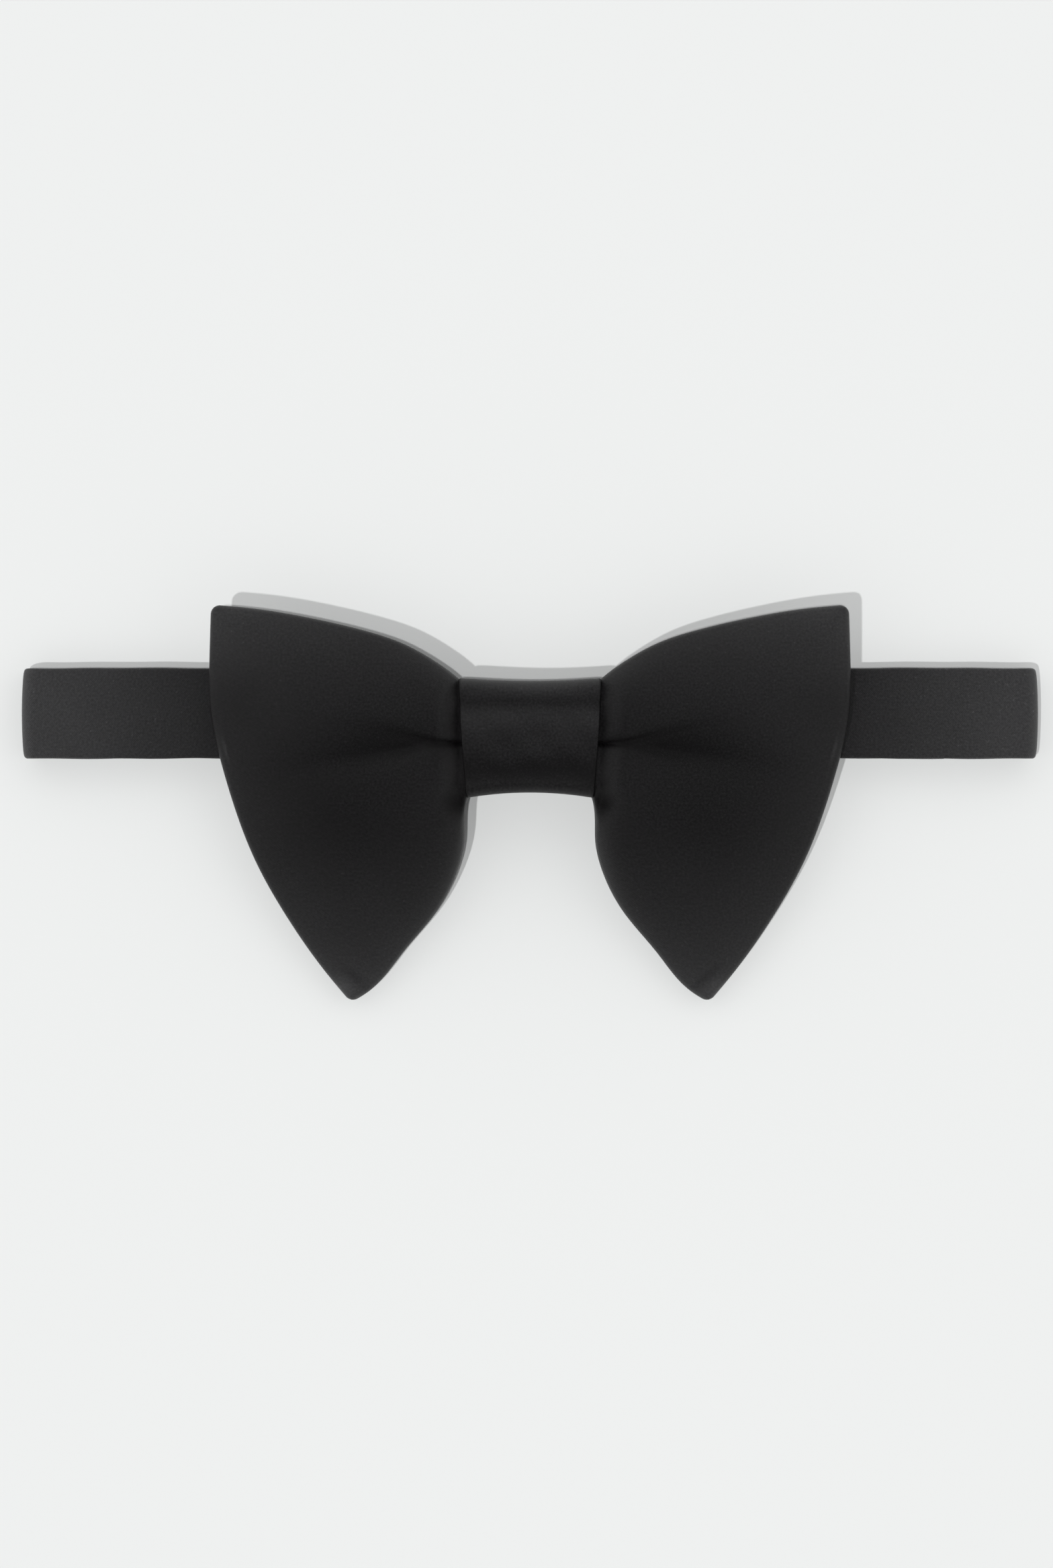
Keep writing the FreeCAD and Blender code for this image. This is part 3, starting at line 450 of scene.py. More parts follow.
# Height of the knot's face, lower towards the bottom.
def knotFace(y):
    return knot["front"] - knot["frontDrop"] * (knot["top"] - y) / (knot["top"] - knot["bottom"])


# One of the knot's folds: a bell curve across y.
def fold(name, y):
    height, at, width = knot[name]
    return height * bump(y, at, width)


# A rounded rectangle in Y and Z, carried across X as a flat ring with rounded side edges; the front
# has three soft ridges, and the upper and lower edges curve in towards the middle.
def knotSkin(inset, thickness, name, node, material):
    corners = [
        (knot["bottom"] + inset, knotFace(knot["bottom"]) - inset, knot["lowerRound"] - inset),
        (knot["top"] - inset, knot["front"] - inset, knot["upperRound"] - inset),
        (knot["top"] - inset, knot["back"] + inset, knot["backRound"] - inset),
        (knot["bottom"] + inset, knot["back"] + inset, knot["backRound"] - inset),
    ]
    ring = roundedRoute(corners, 0.25, closed=True, arcPoints=16)
    normal = sideways(ring, closed=True)
    y, z = ring[:, :1], ring[:, 1:]
    share = (y - knot["bottom"]) / (knot["top"] - knot["bottom"])
    half = knot["bottomHalf"] + (knot["topHalf"] - knot["bottomHalf"]) * share
    half = half + knot["sideBulge"] * np.sin(math.pi * share) - inset * 0.3
    radius = thickness / 2
    turn = np.linspace(-math.pi / 2, math.pi / 2, 7)
    line = denseEnds(61, 0.6) * 2 - 1
    side = np.concatenate([line, np.ones(7), line[::-1], -np.ones(7)])
    bulgeX = np.concatenate([0 * line, np.cos(turn), 0 * line, -np.cos(turn)]) * radius
    bulgeN = np.concatenate([0 * line + 1, np.sin(-turn), 0 * line - 1, np.sin(turn)]) * radius
    x = side[None, :] * (half - radius) + bulgeX[None, :]
    off = bulgeN[None, :] - radius
    across = x / half
    onFront = smoothStep((z - knot["frontFrom"]) / 4)
    ridges = fold("upperRidge", y + 0.25 * np.sin(across * 3 + 1)) + fold("valley", y - 0.3 * across)
    ridges = ridges + fold("broadRidge", y + 0.4 * across ** 2) + fold("lip", y + 0.2 * np.sin(across * 5))
    ridges = ridges + fold("dip", y) * (0.55 + 0.45 * across ** 2)
    lift = onFront * (ridges * (1 - 0.2 * across ** 2) + knot["edgeDip"] * np.abs(across) ** 16)
    outY = y + normal[:, :1] * (off + lift)
    outZ = z + normal[:, 1:] * (off + lift)
    upper = smoothStep((y - 1) / 6)
    lower = smoothStep((-y - 10) / 6)
    outY = outY - knot["topSag"] * upper * (1 - across ** 2) + knot["bottomArch"] * lower * (1 - across ** 2)
    points = np.stack([x, outY, outZ], -1)
    length = travel(ring)
    uv = np.stack([x, np.broadcast_to(length[:, None], x.shape)], -1)
    faces = gridFaces(*x.shape, closeRows=True, closeColumns=True)
    # painted highlights on the ridges, painted shade in the valley, the dip and at the side edges, a little
    # uneven
    wearAndHighlight = 0.22 * bump(y, 4.9, 1.5) * bump(across, 0.1, 0.9) + 0.11 * bump(y, -1.4, 2.2)
    dark = 0.06 * bump(y, 2.0, 1.2) + 0.18 * bump(y, -12, 4.0) + 0.05 * np.abs(across) ** 30
    mottle = 0.04 * np.sin(across * 7 + 1) * np.sin(y * 0.7 + across * 3) * bump(y, -6, 9)
    tone = knot["tone"] + onFront * (wearAndHighlight + mottle - dark)
    piece = makePiece(name, points.reshape(-1, 3), faces, uv.reshape(-1, 2), material, tone.ravel())
    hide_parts(node)
    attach(piece, "bow")
    return piece


knotSkin(0, knot["satin"], "knotWrap", "knot_wrap", knotSatin)
knotSkin(knot["liningInset"], knot["lining"], "knotLining", "knot_interlining", liningCloth)
print("knot made")


# Bow

bow = {
    "leanLine": -9.25,  # y where the bow's back touches the front strand
    "leanHeight": 6.4,
    "leanSlope": math.tan(math.radians(7.46)),
    "rimLevel": 1.8,  # the edge's height over the plane that the bow leans in
    "rimHalf": 0.8,  # half of a wing's thickness at its edge
    "crown": 5.4,  # extra height of the fullest part of the front
    "crownReach": 10.0,  # distance from the edge over which the front rises
    "waistFrom": 4.0,  # x where the gathers open out
    "waistReach": 6.0,
    "waistCrown": 2.6,  # the crown's reach beside the knot
    "leastGap": 1.75,  # from the back's outer face up to the front's
    "satin": 0.45,
    "lining": 0.6,
    "rows": 150,
    "columns": 150,
    # the right wing's outline, (x, y): every curve starts at the knot or at the tip
    "top": [(0, 4.5), (7, 4.6), (12.0, 5.2), (15.0, 7.4), (20.4, 11.2), (25.6, 14.0), (32.9, 16.5),
            (44.9, 19.3), (55, 21.0), (64.6, 21.9)],
    "inner": [(0, -15.2), (7, -15.3), (11.6, -15.8), (13.05, -19.4), (13.3, -26), (14.9, -32.6),
              (19.1, -40.6), (26.0, -49), (30.9, -55.1), (33.5, -57.3), (36.7, -59.2)],
    "outer": [(36.7, -59.2), (42.2, -52.5), (49.9, -41.3), (56.1, -30), (60.3, -18.9), (63.0, -9.5),
              (65.0, 1), (65.1, 8), (64.6, 21.9)],
    "topLength": 66.0,  # rounded lengths of those curves, which scale the corners and the edge distances
    "innerLength": 62.0,
    "outerLength": 85.0,
    "cornerRound": 1.9,
    "tipRound": 1.5,
    "liningRows": 70,
    "liningMargin": 0.035,  # share of the wing left out along each edge
    "liningLift": 0.08,
}


# Pulls the corner of the unit square onto a quarter of an ellipse, by the elliptical grid map.
def roundCorner(s, t, roundS, roundT):
    a = np.clip((s - (1 - roundS)) / roundS, 0, 1)
    b = np.clip((t - (1 - roundT)) / roundT, 0, 1)
    newA, newB = a * np.sqrt(1 - b * b / 2), b * np.sqrt(1 - a * a / 2)
    return np.where(a > 0, 1 - roundS + newA * roundS, s), np.where(b > 0, 1 - roundT + newB * roundT, t)


# Plan of the right wing: a patch between its four edges, each point the blend of opposite edges.
# A margin leaves out that share of it along its edges. The shares it returns are those before the
# corners are rounded, so that they are 0 or 1 all round the rim.
def wingPlan(columns, rows, margin=0):
    u = denseEnds(columns, 0.75)[:, None] * (1 - margin) + np.zeros((1, rows))
    v = margin + (1 - 2 * margin) * denseEnds(rows, 0.9)[None, :] + np.zeros((columns, 1))
    shareU, shareV = u, v
    cornerRound, tipRound, outerLength = bow["cornerRound"], bow["tipRound"], bow["outerLength"]
    u, v = roundCorner(u, v, cornerRound / bow["topLength"], cornerRound / outerLength)
    u, flipped = roundCorner(u, 1 - v, tipRound / bow["innerLength"], tipRound / outerLength)
    v = 1 - flipped
    low = curveThrough(bow["inner"], u.ravel()).reshape(*u.shape, 2)
    high = curveThrough(bow["top"], u.ravel()).reshape(*u.shape, 2)
    far = curveThrough(bow["outer"], v.ravel()).reshape(*u.shape, 2)
    corner = [np.array(bow[k][i]) for k, i in (("inner", 0), ("top", 0), ("inner", -1), ("top", -1))]
    a, b = u[..., None], v[..., None]
    near = corner[0] + (corner[1] - corner[0]) * b
    flatPart = (1 - a) * ((1 - b) * corner[0] + b * corner[1]) + a * ((1 - b) * corner[2] + b * corner[3])
    plan = (1 - b) * low + b * high + (1 - a) * near + a * far - flatPart
    return plan, shareU, shareV


pleat = {
    "from": 14.4,  # x of the knot's side, where both valleys start as one crease
    "upperLine": [(14.4, -6.2), (19.5, -6.0), (24.5, -5.0), (31, -3.0), (41, -1.0)],
    "lowerLine": [(14.4, -6.2), (24, -6.9), (34.5, -8.4), (41, -9.1), (50, -10.7), (60, -10.2)],
    "upperDepth": 1.35,
    "upperReach": 37.0,  # from the knot's side, as are the other two
    "lowerDepth": 1.5,
    "lowerFrom": 1.5,
    "lowerReach": 50.0,
    "recessDepth": 1.5,
    "recessHalf": 6.0,
    "recessReach": 40.0,
}


# Height lost to the pleat: two valleys that leave the knot as one sharp crease and part into a V, each a
# line with exponential sides, steeper above the upper one, all lying in a broad soft recess.
def pleatDepth(x, y):
    s = np.maximum(x - pleat["from"], 0)

    def lineAt(points):
        share = np.clip(s / (points[-1][0] - points[0][0]), 0, 1)
        return curveThrough(points, share.ravel())[:, 1].reshape(x.shape)

    def valley(line, depth, above):
        off = y - line
        width = (0.6 + 0.085 * s) * np.where(off > 0, above, 1)
        soft = 0.12 + 0.045 * s
        return depth * np.exp(-(np.sqrt(off * off + soft * soft) - soft) / width)

    upperLine, lowerLine = lineAt(pleat["upperLine"]), lineAt(pleat["lowerLine"])
    upper = valley(upperLine, pleat["upperDepth"] * (1 - smoothStep(s / pleat["upperReach"])), 0.6)
    starting = smoothStep((s - pleat["lowerFrom"]) / 11)
    ending = 1 - smoothStep((s - 8) / (pleat["lowerReach"] - 8))
    lower = valley(lowerLine, pleat["lowerDepth"] * starting * ending, 1)
    recess = bump(y, -5 - 0.09 * s, pleat["recessHalf"]) * (1 - smoothStep((s - 8) / pleat["recessReach"]))
    between = bump(y, (upperLine + lowerLine) / 2, (upperLine - lowerLine) / 2 + 1.3)
    between = between * smoothStep(s / 6) * (1 - smoothStep((s - 10) / 32))
    return np.maximum(upper, lower) + 0.3 * np.minimum(upper, lower), recess, between


# Height of the plane on which the bow leans.
def leaning(y):
    return bow["leanHeight"] + (y - bow["leanLine"]) * bow["leanSlope"]


# What each part of a wing adds to its tone, on a plain base: painted highlights at the rim, the tip,
# the top corner, the upper half, the roll line, beside the knot and on the tip's facet; painted shade in the
# folds, the hollow, by the outer side and at the fullest part.
wingPaintedLight = {
    "plain": 0.125,
    "rim": 0.05,
    "tip": 0.46,
    "topCorner": 0.36,
    "upper": 0.08,
    "fullest": -0.10,
    "creases": -0.06,
    "recess": -0.08,
    "between": -0.05,
    "hollow": -0.16,
    "rollLine": 0.25,
    "besideKnot": 0.03,
    "outerSide": -0.09,
    "tipFold": -0.14,
    "tipFacet": 0.30,
}


# Front and back heights over the bow's plane: a rolled rim, a crown that rises with distance from it,
# the pleat, the hollow under the knot's lower corner, a fine roll line by the outer edge and a small
# fold at the tip. The front passes under the knot's face, and never comes nearer to the back than the
# least gap. The tone, painted light and shade on the cloth, is the sum of what the same parts add.
def wingHeights(plan, u, v):
    x, y = plan[..., 0], plan[..., 1]
    length = np.linalg.norm(np.diff(plan, axis=1), axis=2).sum(1)[:, None] / (v[:, -1:] - v[:, :1])
    toSides = np.minimum(v, 1 - v) * length
    toEnd = (1 - u) * bow["innerLength"]
    edge = np.minimum(toSides, toEnd)
    middle = bow["rimLevel"] - bow["rimHalf"]
    roll = np.sqrt(np.clip(1 - (1 - np.clip(edge / bow["rimHalf"], 0, 1)) ** 2, 0, 1))
    softEdge = 1 / (1 / (toSides + 0.4) ** 2 + 1 / (toEnd + 0.4) ** 2) ** 0.5
    outside = np.maximum(x - bow["waistFrom"], 0)
    reach = bow["waistCrown"] + (bow["crownReach"] - bow["waistCrown"]) * smoothStep((x - 10) / 24)
    full = (1 - np.exp(-softEdge / reach)) * (1 - np.exp(-outside / bow["waistReach"]))
    front = bow["rimLevel"] + bow["rimHalf"] * roll + (bow["crown"] + middle) * full
    inOpen = roll * smoothStep((x - 9) / 5)
    creases, recess, between = pleatDepth(x, y)
    hollow = bump(x, 15.0, 3.0) * bump(y, -17.8, 2.6)
    rollLine = bump(toEnd, 1.5, 0.3) * bump(y, -7.4, 2.2)
    foldX, foldY = x - 33.3, y + 56.2
    tipFold = bump(foldX - foldY, 0, 1.5) * bump(foldX + foldY, 4.5, 4.5)
    under = knotFace(y) - knot["room"] - leaning(y) + 0.8 * np.maximum(x - knot["topHalf"], 0)
    spare = under - front
    front = under - 0.5 * (spare + np.sqrt(spare * spare + 0.6 ** 2))
    front = front - (creases + pleat["recessDepth"] * recess * smoothStep((x - 13) / 10)) * inOpen
    front = front - 1.6 * hollow * smoothStep(edge / 2.8) + 0.15 * rollLine
    front = front - 0.3 * tipFold * smoothStep(edge / 1.5)
    back = bow["rimLevel"] - bow["rimHalf"] * roll - middle * (1 - np.exp(-edge / 3))
    away = smoothStep(edge / 2)
    spare = front - back - bow["leastGap"] * away
    front = back + bow["leastGap"] * away + 0.5 * (spare + np.sqrt(spare * spare + (0.5 * away) ** 2))
    # Where each painted highlight and painted shade of the tone lies on the wing.
    amounts = {
        "plain": 1,
        "rim": np.exp(-edge / 0.8),
        "tip": np.exp(-np.hypot(x - 36, y + 58) / 12),
        "topCorner": np.exp(-np.hypot(x - 62, (y - 20) * 1.3) / 18),
        "upper": smoothStep((y - 2) / 16),
        "fullest": bump(x, 36, 17) * bump(y, -22, 11),
        "creases": np.clip(creases / 1.2, 0, 1) * inOpen,
        "recess": recess * inOpen,
        "between": between * inOpen,
        "hollow": hollow,
        "rollLine": rollLine,
        "besideKnot": bump(x, 14.6, 2.4),
        "outerSide": bump(x, 63, 7) * bump(y, 2, 8),
        "tipFold": tipFold,
        "tipFacet": bump(x, 38.2, 2.6) * bump(y, -56.6, 2.6),
    }
    tone = sum(wingPaintedLight[part] * amount for part, amount in amounts.items())
    return front, back, np.clip(tone, 0, 1)


# The right wing and its mirror as one grid from tip to tip, standing on the leaning plane.
def bothWings(plan, height):
    x, y = plan[..., 0], plan[..., 1]
    right = np.stack([x, y, leaning(y) + height], -1)
    left = right[:0:-1] * np.array([-1, 1, 1])
    return np.concatenate([left, right])


# Values of the right wing and its mirror, from tip to tip.
def mirrored(values):
    return np.concatenate([values[:0:-1], values])


plan, patchU, patchV = wingPlan(bow["columns"], bow["rows"])
front, back, tone = wingHeights(plan, patchU, patchV)


# One satin of the bow: the grid of both wings with a thickness, turned round for the back.
def bowSheet(name, node, height, turned):
    points = bothWings(plan, height)
    values = mirrored(tone)
    if turned:
        points, values = points[:, ::-1], values[:, ::-1]
    solid, faces = thickSheet(points, bow["satin"])
    piece = makePiece(name, solid, faces, solid[:, :2], wingSatin, np.tile(values.ravel(), 2))
    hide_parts(node)
    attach(piece, "bow")


bowSheet("bowFront", "bow_front_panel", front, False)
bowSheet("bowBack", "bow_back_panel", back, True)

liningPlan, liningU, liningV = wingPlan(bow["liningRows"], bow["liningRows"], bow["liningMargin"])
liningBack = wingHeights(liningPlan, liningU, liningV)[1]
liningPoints = bothWings(liningPlan, liningBack + bow["satin"] + bow["liningLift"] + bow["lining"])
solid, faces = thickSheet(liningPoints, bow["lining"])
piece = makePiece("bowInterlining", solid, faces, solid[:, :2], liningCloth)
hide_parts("bow_interlining")
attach(piece, "bow")
print("bow made")


# Neckband

band = {
    "half": 9.25,
    "strapHigh": 4.75,
    "thickness": 1.0,
    "narrowFrom": 95.0,  # x between which the rear strand narrows
    "narrowTo": 62.0,
    "foldX": 101.05,
    "foldRadius": 2.45,
    "frontZ": 5.4,
    "rearZ": 0.5,
    "notch": 20.0,
    "frontLow": 4.85,  # above this the band stays with the bow
    "rearHigh": 1.05,  # below this it goes with its own half
    "endBow": 0.35,  # how far the fold's corners stand back from its middle
    "seamDepth": 0.12,
    "wobble": (0.10, 0.07),  # unevenness of the long edges, long and short waves
    "step": 0.8,
    "tone": 0.30,
    # painted highlight, growing towards the folded ends
    "endHighlight": 0.47,  # added towards the folded ends
    "toneFrom": 62.0,
    "toneReach": 44.0,
}


# Once round the section: side -1..1 across the strip, then the rounded edge's own two offsets.
def stadium(facePoints=23, edgePoints=8):
    turn = np.linspace(-math.pi / 2, math.pi / 2, edgePoints)
    line = denseEnds(facePoints + 2, 0.4)[1:-1] * 2 - 1
    side = np.concatenate([line, np.ones(edgePoints), line[::-1], -np.ones(edgePoints)])
    edge = np.concatenate([0 * line, np.cos(turn), 0 * line, -np.cos(turn)])
    face = np.concatenate([0 * line - 1, np.sin(turn), 0 * line + 1, np.sin(-turn)])
    first = (np.arange(side.size // 2) - edgePoints // 2) % side.size
    opposite = (side.size - edgePoints - 1 - first) % side.size
    cap = np.stack([first[:-1], first[1:], opposite[1:], opposite[:-1]], 1)
    return side, edge, face, cap


# Upper edge: the strap's width behind the knot and at the hardware, the full width at the folds.
def bandTop(route):
    x = np.abs(route[:, 0])
    front = smoothStep((x - band["notch"]) / 3)
    rear = np.clip((x - band["narrowTo"]) / (band["narrowFrom"] - band["narrowTo"]), 0, 1)
    wide = np.where(route[:, 1] > band["frontLow"] - 0.2, front, rear)
    return band["strapHigh"] + (band["half"] - band["strapHigh"]) * wide


# Painted highlight: lighter towards the folded ends.
def bandTone(points):
    x = np.abs(points[..., 0])
    return band["tone"] + band["endHighlight"] * smoothStep((x - band["toneFrom"]) / band["toneReach"])


# Flat tube carried along a route in X and Z: half a thickness to each side of it, edges rounded,
# a sewn seam sunk along the middle of one face, long edges a little uneven, and both ends closed.
def strip(name, route, nodes, flat, held, restsOn, low=None, high=None, thickness=None, seam=1):
    radius = (thickness or band["thickness"]) / 2
    side, edge, face, cap = stadium()
    normal = sideways(route)
    length = travel(route)
    bottom = np.zeros(len(route)) + (-band["half"] if low is None else low(route))
    top = np.zeros(len(route)) + (band["half"] if high is None else high(route))
    wobble = band["wobble"][0] * np.sin(length / 6.1 + 1.0) + band["wobble"][1] * np.sin(length / 2.3)
    bottom, top = bottom - 0.6 * wobble, top + 0.5 * wobble - 0.05
    middle, half = (top + bottom)[:, None] / 2, (top - bottom)[:, None] / 2
    y = middle + side * (half - radius) + edge * radius
    across = (y - middle) / half
    off = face * radius * (1 - 0.10 * across ** 2)
    off = off - np.where(face * seam > 0, face * band["seamDepth"] * bump(y, middle - 0.4, 0.35), 0)
    outX = route[:, :1] + normal[:, :1] * off
    outZ = route[:, 1:] + normal[:, 1:] * off
    pull = (band["endBow"] * across ** 2 + 0.3 * np.abs(across) ** 14) * smoothStep((np.abs(outX) - 98) / 5)
    points = np.stack([outX - np.sign(outX) * pull, y, outZ], -1)
    uv = np.stack([np.broadcast_to(length[:, None], y.shape), y + 40 * (face > 0)], -1)
    last = (len(route) - 1) * y.shape[1]
    faces = np.concatenate([gridFaces(*y.shape, closeColumns=True), cap, cap[:, ::-1] + last])
    piece = makePiece(name, points.reshape(-1, 3), faces, uv.reshape(-1, 2), bandSatin,
                      bandTone(points).ravel())
    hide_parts(*nodes)
    return piece


# A strip's route with points a step apart.
def route(points):
    return roundedRoute(points, band["step"])


strapEdge = {"low": lambda r: -band["half"], "high": lambda r: band["strapHigh"]}  # its edges in Y
foldCorner = band["foldX"] + band["foldRadius"]

strap = {
    "seamX": 85.0,  # the right strand's sheet ends here and the adjustable strap begins
    "joinX": -10.0,  # the strap is one sheet from here round the eye
    "lowerZ": 0.5,
    "upperZ": 1.75,
    "hookUpperZ": 1.5,
    "bend": 1.2,  # radius of its soft bends
    "crest": -1.05,  # bends left of the slider's middle, from that middle
    "foot": -5.4,
    "rightCrest": 1.66,
    "rightFoot": 5.76,
    "eyeCrest": 1.0,  # bends before the eye, from its edge
    "eyeFoot": 2.9,
    "hookStart": -50.0,
    "hookCrest": -48.3,
    "hookFoot": -50.7,
    "overFrom": 80.0,  # x where the run over the slider starts and ends its stretch
    "overTo": 48.0,
    "upperFrom": 32.0,
}

leftRoute = route([(0, band["frontZ"], 0), (-foldCorner, band["frontZ"], band["foldRadius"]),
                   (-foldCorner, band["rearZ"], band["foldRadius"]), (strap["hookStart"], band["rearZ"], 0)])
bandLeft = strip("bandLeft", leftRoute, ["band_front", "band_left_fold", "band_left"], (0.0185, 0.1615),
                 "folded", ["hook"], high=bandTop)
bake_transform(bandLeft)

rightRoute = route([(0, band["frontZ"], 0), (foldCorner, band["frontZ"], band["foldRadius"]),
                    (foldCorner, band["rearZ"], band["foldRadius"]), (strap["seamX"], band["rearZ"], 0)])
bandRight = strip("bandRight", rightRoute, ["band_front", "band_right_fold", "band_right"], (0.0185, 0.1255),
                  "folded", ["strapOverSlider"], high=bandTop, seam=-1)
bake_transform(bandRight)
print("neckband made")


# Hook's loop and the adjustable strap

loopLow, loopHigh = boxOf("band_hook_loop")
hookEnd = loopHigh[0] - band["thickness"] / 2
loopTop = loopHigh[2] - band["thickness"] / 2
loopRadius = (loopTop - band["rearZ"]) / 2
hookRoute = route([(strap["hookStart"], strap["lowerZ"], 0), (hookEnd, strap["lowerZ"], loopRadius),
                   (hookEnd, loopTop, loopRadius), (strap["hookCrest"], loopTop, strap["bend"]),
                   (strap["hookFoot"], strap["hookUpperZ"], strap["bend"]),
                   (loopLow[0], strap["hookUpperZ"], 0)])
hookLoop = strip("hookLoop", hookRoute, ["band_hook_loop"], (0.014, 0.0305), "folded", ["bandLeft"],
                 **strapEdge)
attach(hookLoop, "left_band")

sliderLow, sliderHigh = boxOf("slider")
sliderX, sliderZ = (sliderLow[0] + sliderHigh[0]) / 2, (sliderLow[2] + sliderHigh[2]) / 2
overZ = boxOf("band_slider_run")[1][2] - band["thickness"] / 2
upperZ, lowerZ, joinX = strap["upperZ"], strap["lowerZ"], strap["joinX"]
eyeHigh = boxOf("eye")[1]
turnX = boxOf("band_eye_strand")[0][0] + band["thickness"] / 2

runRoute = route([(strap["seamX"], lowerZ, 0), (sliderX + strap["rightFoot"], lowerZ, strap["bend"]),
                  (sliderX + strap["rightCrest"], overZ, strap["bend"]), (sliderX, overZ, 0)])
strapOver = strip("strapOverSlider", runRoute, ["band_right", "band_slider_run"], (0.0155, 0.0462), "laid",
                  ["slider"], high=bandTop, seam=-1)
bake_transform(strapOver)

upperRoute = route([(sliderX, overZ, 0), (sliderX + strap["crest"], overZ, strap["bend"]),
                    (sliderX + strap["foot"], upperZ, strap["bend"]), (joinX, upperZ, 0)])
strapUpper = strip("strapUpper", upperRoute, ["band_slider_run", "band_eye_strand"], (0.014, 0.0505), "laid",
                   ["strapReturn"], **strapEdge, seam=-1)
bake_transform(strapUpper)

eyeRoute = route([(joinX, upperZ, 0), (eyeHigh[0] + strap["eyeFoot"], upperZ, strap["bend"]),
                  (eyeHigh[0] + strap["eyeCrest"], loopTop, strap["bend"]), (turnX, loopTop, loopRadius),
                  (turnX, lowerZ, loopRadius), (joinX, lowerZ, 0)])
strapEye = strip("strapRoundEye", eyeRoute, ["band_eye_strand"], (0.014, 0.0368), "folded", ["eye"],
                 **strapEdge, seam=-1)
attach(strapEye, "right_band")

endLow, endHigh = boxOf("band_end_loop")
legX = endLow[0]
returnRoute = route([(joinX, lowerZ, 0), (legX, lowerZ, 0)])
strapReturn = strip("strapReturn", returnRoute, ["band_eye_strand", "band_return_run"], (0.014, 0.040),
                    "laid", ["strapUpper"], **strapEdge, seam=-1)
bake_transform(strapReturn)

endFold = {
    "thickness": 0.48,
    "bend": 0.96,
    "lowerFoot": -3.38,  # bends from the slider's middle
    "upperFoot": -4.34,
    "crest": -1.05,
    "height": 1.0,  # of both legs together
    "step": 0.4,
}
leg, bend = endFold["thickness"], endFold["bend"]
legTurn = endHigh[2] - sliderZ - leg / 2
legEnd = endHigh[0] - leg / 2
lowZ, highZ = leg / 2, endFold["height"] - leg / 2
endRoute = roundedRoute([(legX, lowZ, 0), (sliderX + endFold["lowerFoot"], lowZ, bend),
                         (sliderX + endFold["crest"], sliderZ - legTurn, bend),
                         (legEnd, sliderZ - legTurn, legTurn), (legEnd, sliderZ + legTurn, legTurn),
                         (sliderX + endFold["crest"], sliderZ + legTurn, bend),
                         (sliderX + endFold["upperFoot"], highZ, bend), (legX, highZ, 0)], endFold["step"])
endLoop = strip("endLoop", endRoute, ["band_end_loop"], (0.014, 0.0255), "folded", ["slider"], **strapEdge,
                thickness=leg, seam=0)
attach(endLoop, "slider")
print("strap made")


# Stitches

stitch = {
    "length": 2.0,
    "width": 0.35,
    "radius": 0.15,
    "arch": 0.45,  # share of the CAD stitch's height
    "flatness": 0.8,
    "sway": 0.04,
    "endAngle": 0.12,  # where the taper stops short of a point
    "sides": 10,
    "rings": 15,
    "underHigh": 4.5,  # stitches that reach above this, or start above the next, are on an underside
    "underLow": 3.5,
}


# Each stitch is a bent thread: a round section carried over a low arch between its two holes.
def stitches(name, node, body, columns, rows, alongX):
    low, high = boxOf(node)
    length, width = stitch["length"], stitch["width"]
    size = np.array([length, width]) if alongX else np.array([width, length])
    firstX = np.linspace(low[0], high[0] - size[0], columns) + size[0] / 2
    firstY = np.linspace(low[1], high[1] - size[1], rows) + size[1] / 2
    middle = np.stack(np.meshgrid(firstX, firstY, indexing="ij"), -1).reshape(-1, 2)
    t = np.linspace(0, math.pi, stitch["rings"])
    angle = np.linspace(0, 2 * math.pi, stitch["sides"], endpoint=False)
    down = high[2] > stitch["underHigh"] or low[2] > stitch["underLow"]
    along = -np.cos(t) * (length / 2 - 0.05)
    radius = stitch["radius"] * np.sqrt(np.sin(np.clip(t, stitch["endAngle"], math.pi - stitch["endAngle"])))
    rise = (high[2] - low[2]) * stitch["arch"] * np.sin(t)
    a = along[:, None] + 0 * angle
    b = radius[:, None] * np.cos(angle) + stitch["sway"] * np.sin(t * 2)[:, None]
    c = radius[:, None] * np.sin(angle) * stitch["flatness"] + rise[:, None]
    base = high[2] - c if down else low[2] + c
    x, y = (a, b) if alongX else (b, a)
    one = np.stack([x, y, base], -1)
    points = one[None] + np.concatenate([middle, np.zeros((len(middle), 1))], 1)[:, None, None, :]
    face = gridFaces(*a.shape, closeColumns=True)
    k = np.arange(stitch["sides"] // 2 - 1)  # the end's ring is closed by quads side to side
    fan = np.stack([k, k + 1, stitch["sides"] - 2 - k, stitch["sides"] - 1 - k], 1)
    face = np.concatenate([face, fan, fan[:, ::-1] + (len(t) - 1) * stitch["sides"]])
    faces = (face[None] + (np.arange(len(middle)) * a.size)[:, None, None]).reshape(-1, 4)
    flatPoints = points.reshape(-1, 3)
    piece = makePiece(name, flatPoints, faces, flatPoints[:, :2], threadCloth)
    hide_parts(node)
    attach(piece, body)


stitches("knotStitches", "knot_seam_stitches", "bow", 1, 6, True)
stitches("labelStitches", "label_stitches", "bow", 2, 4, False)
stitches("hookLoopStitches", "hook_loop_stitches", "left_band", 1, 3, False)
stitches("endLoopStitches", "end_loop_stitches", "slider", 1, 3, False)
print("stitches made")


# Pieces kept as they are in the frame, with their finishes

finishes = {
    "hook": metal, "eye": metal, "slider": metal,
    "care_label": ribbonCloth, "waist_thread": threadCloth,
    "band_front_lining": liningCloth, "band_left_lining": liningCloth, "band_right_lining": liningCloth,
}
for node, material in finishes.items():
    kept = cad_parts[node]
    kept.data.materials.clear()
    kept.data.materials.append(material)
print("finishes given")


# Floor, light and camera

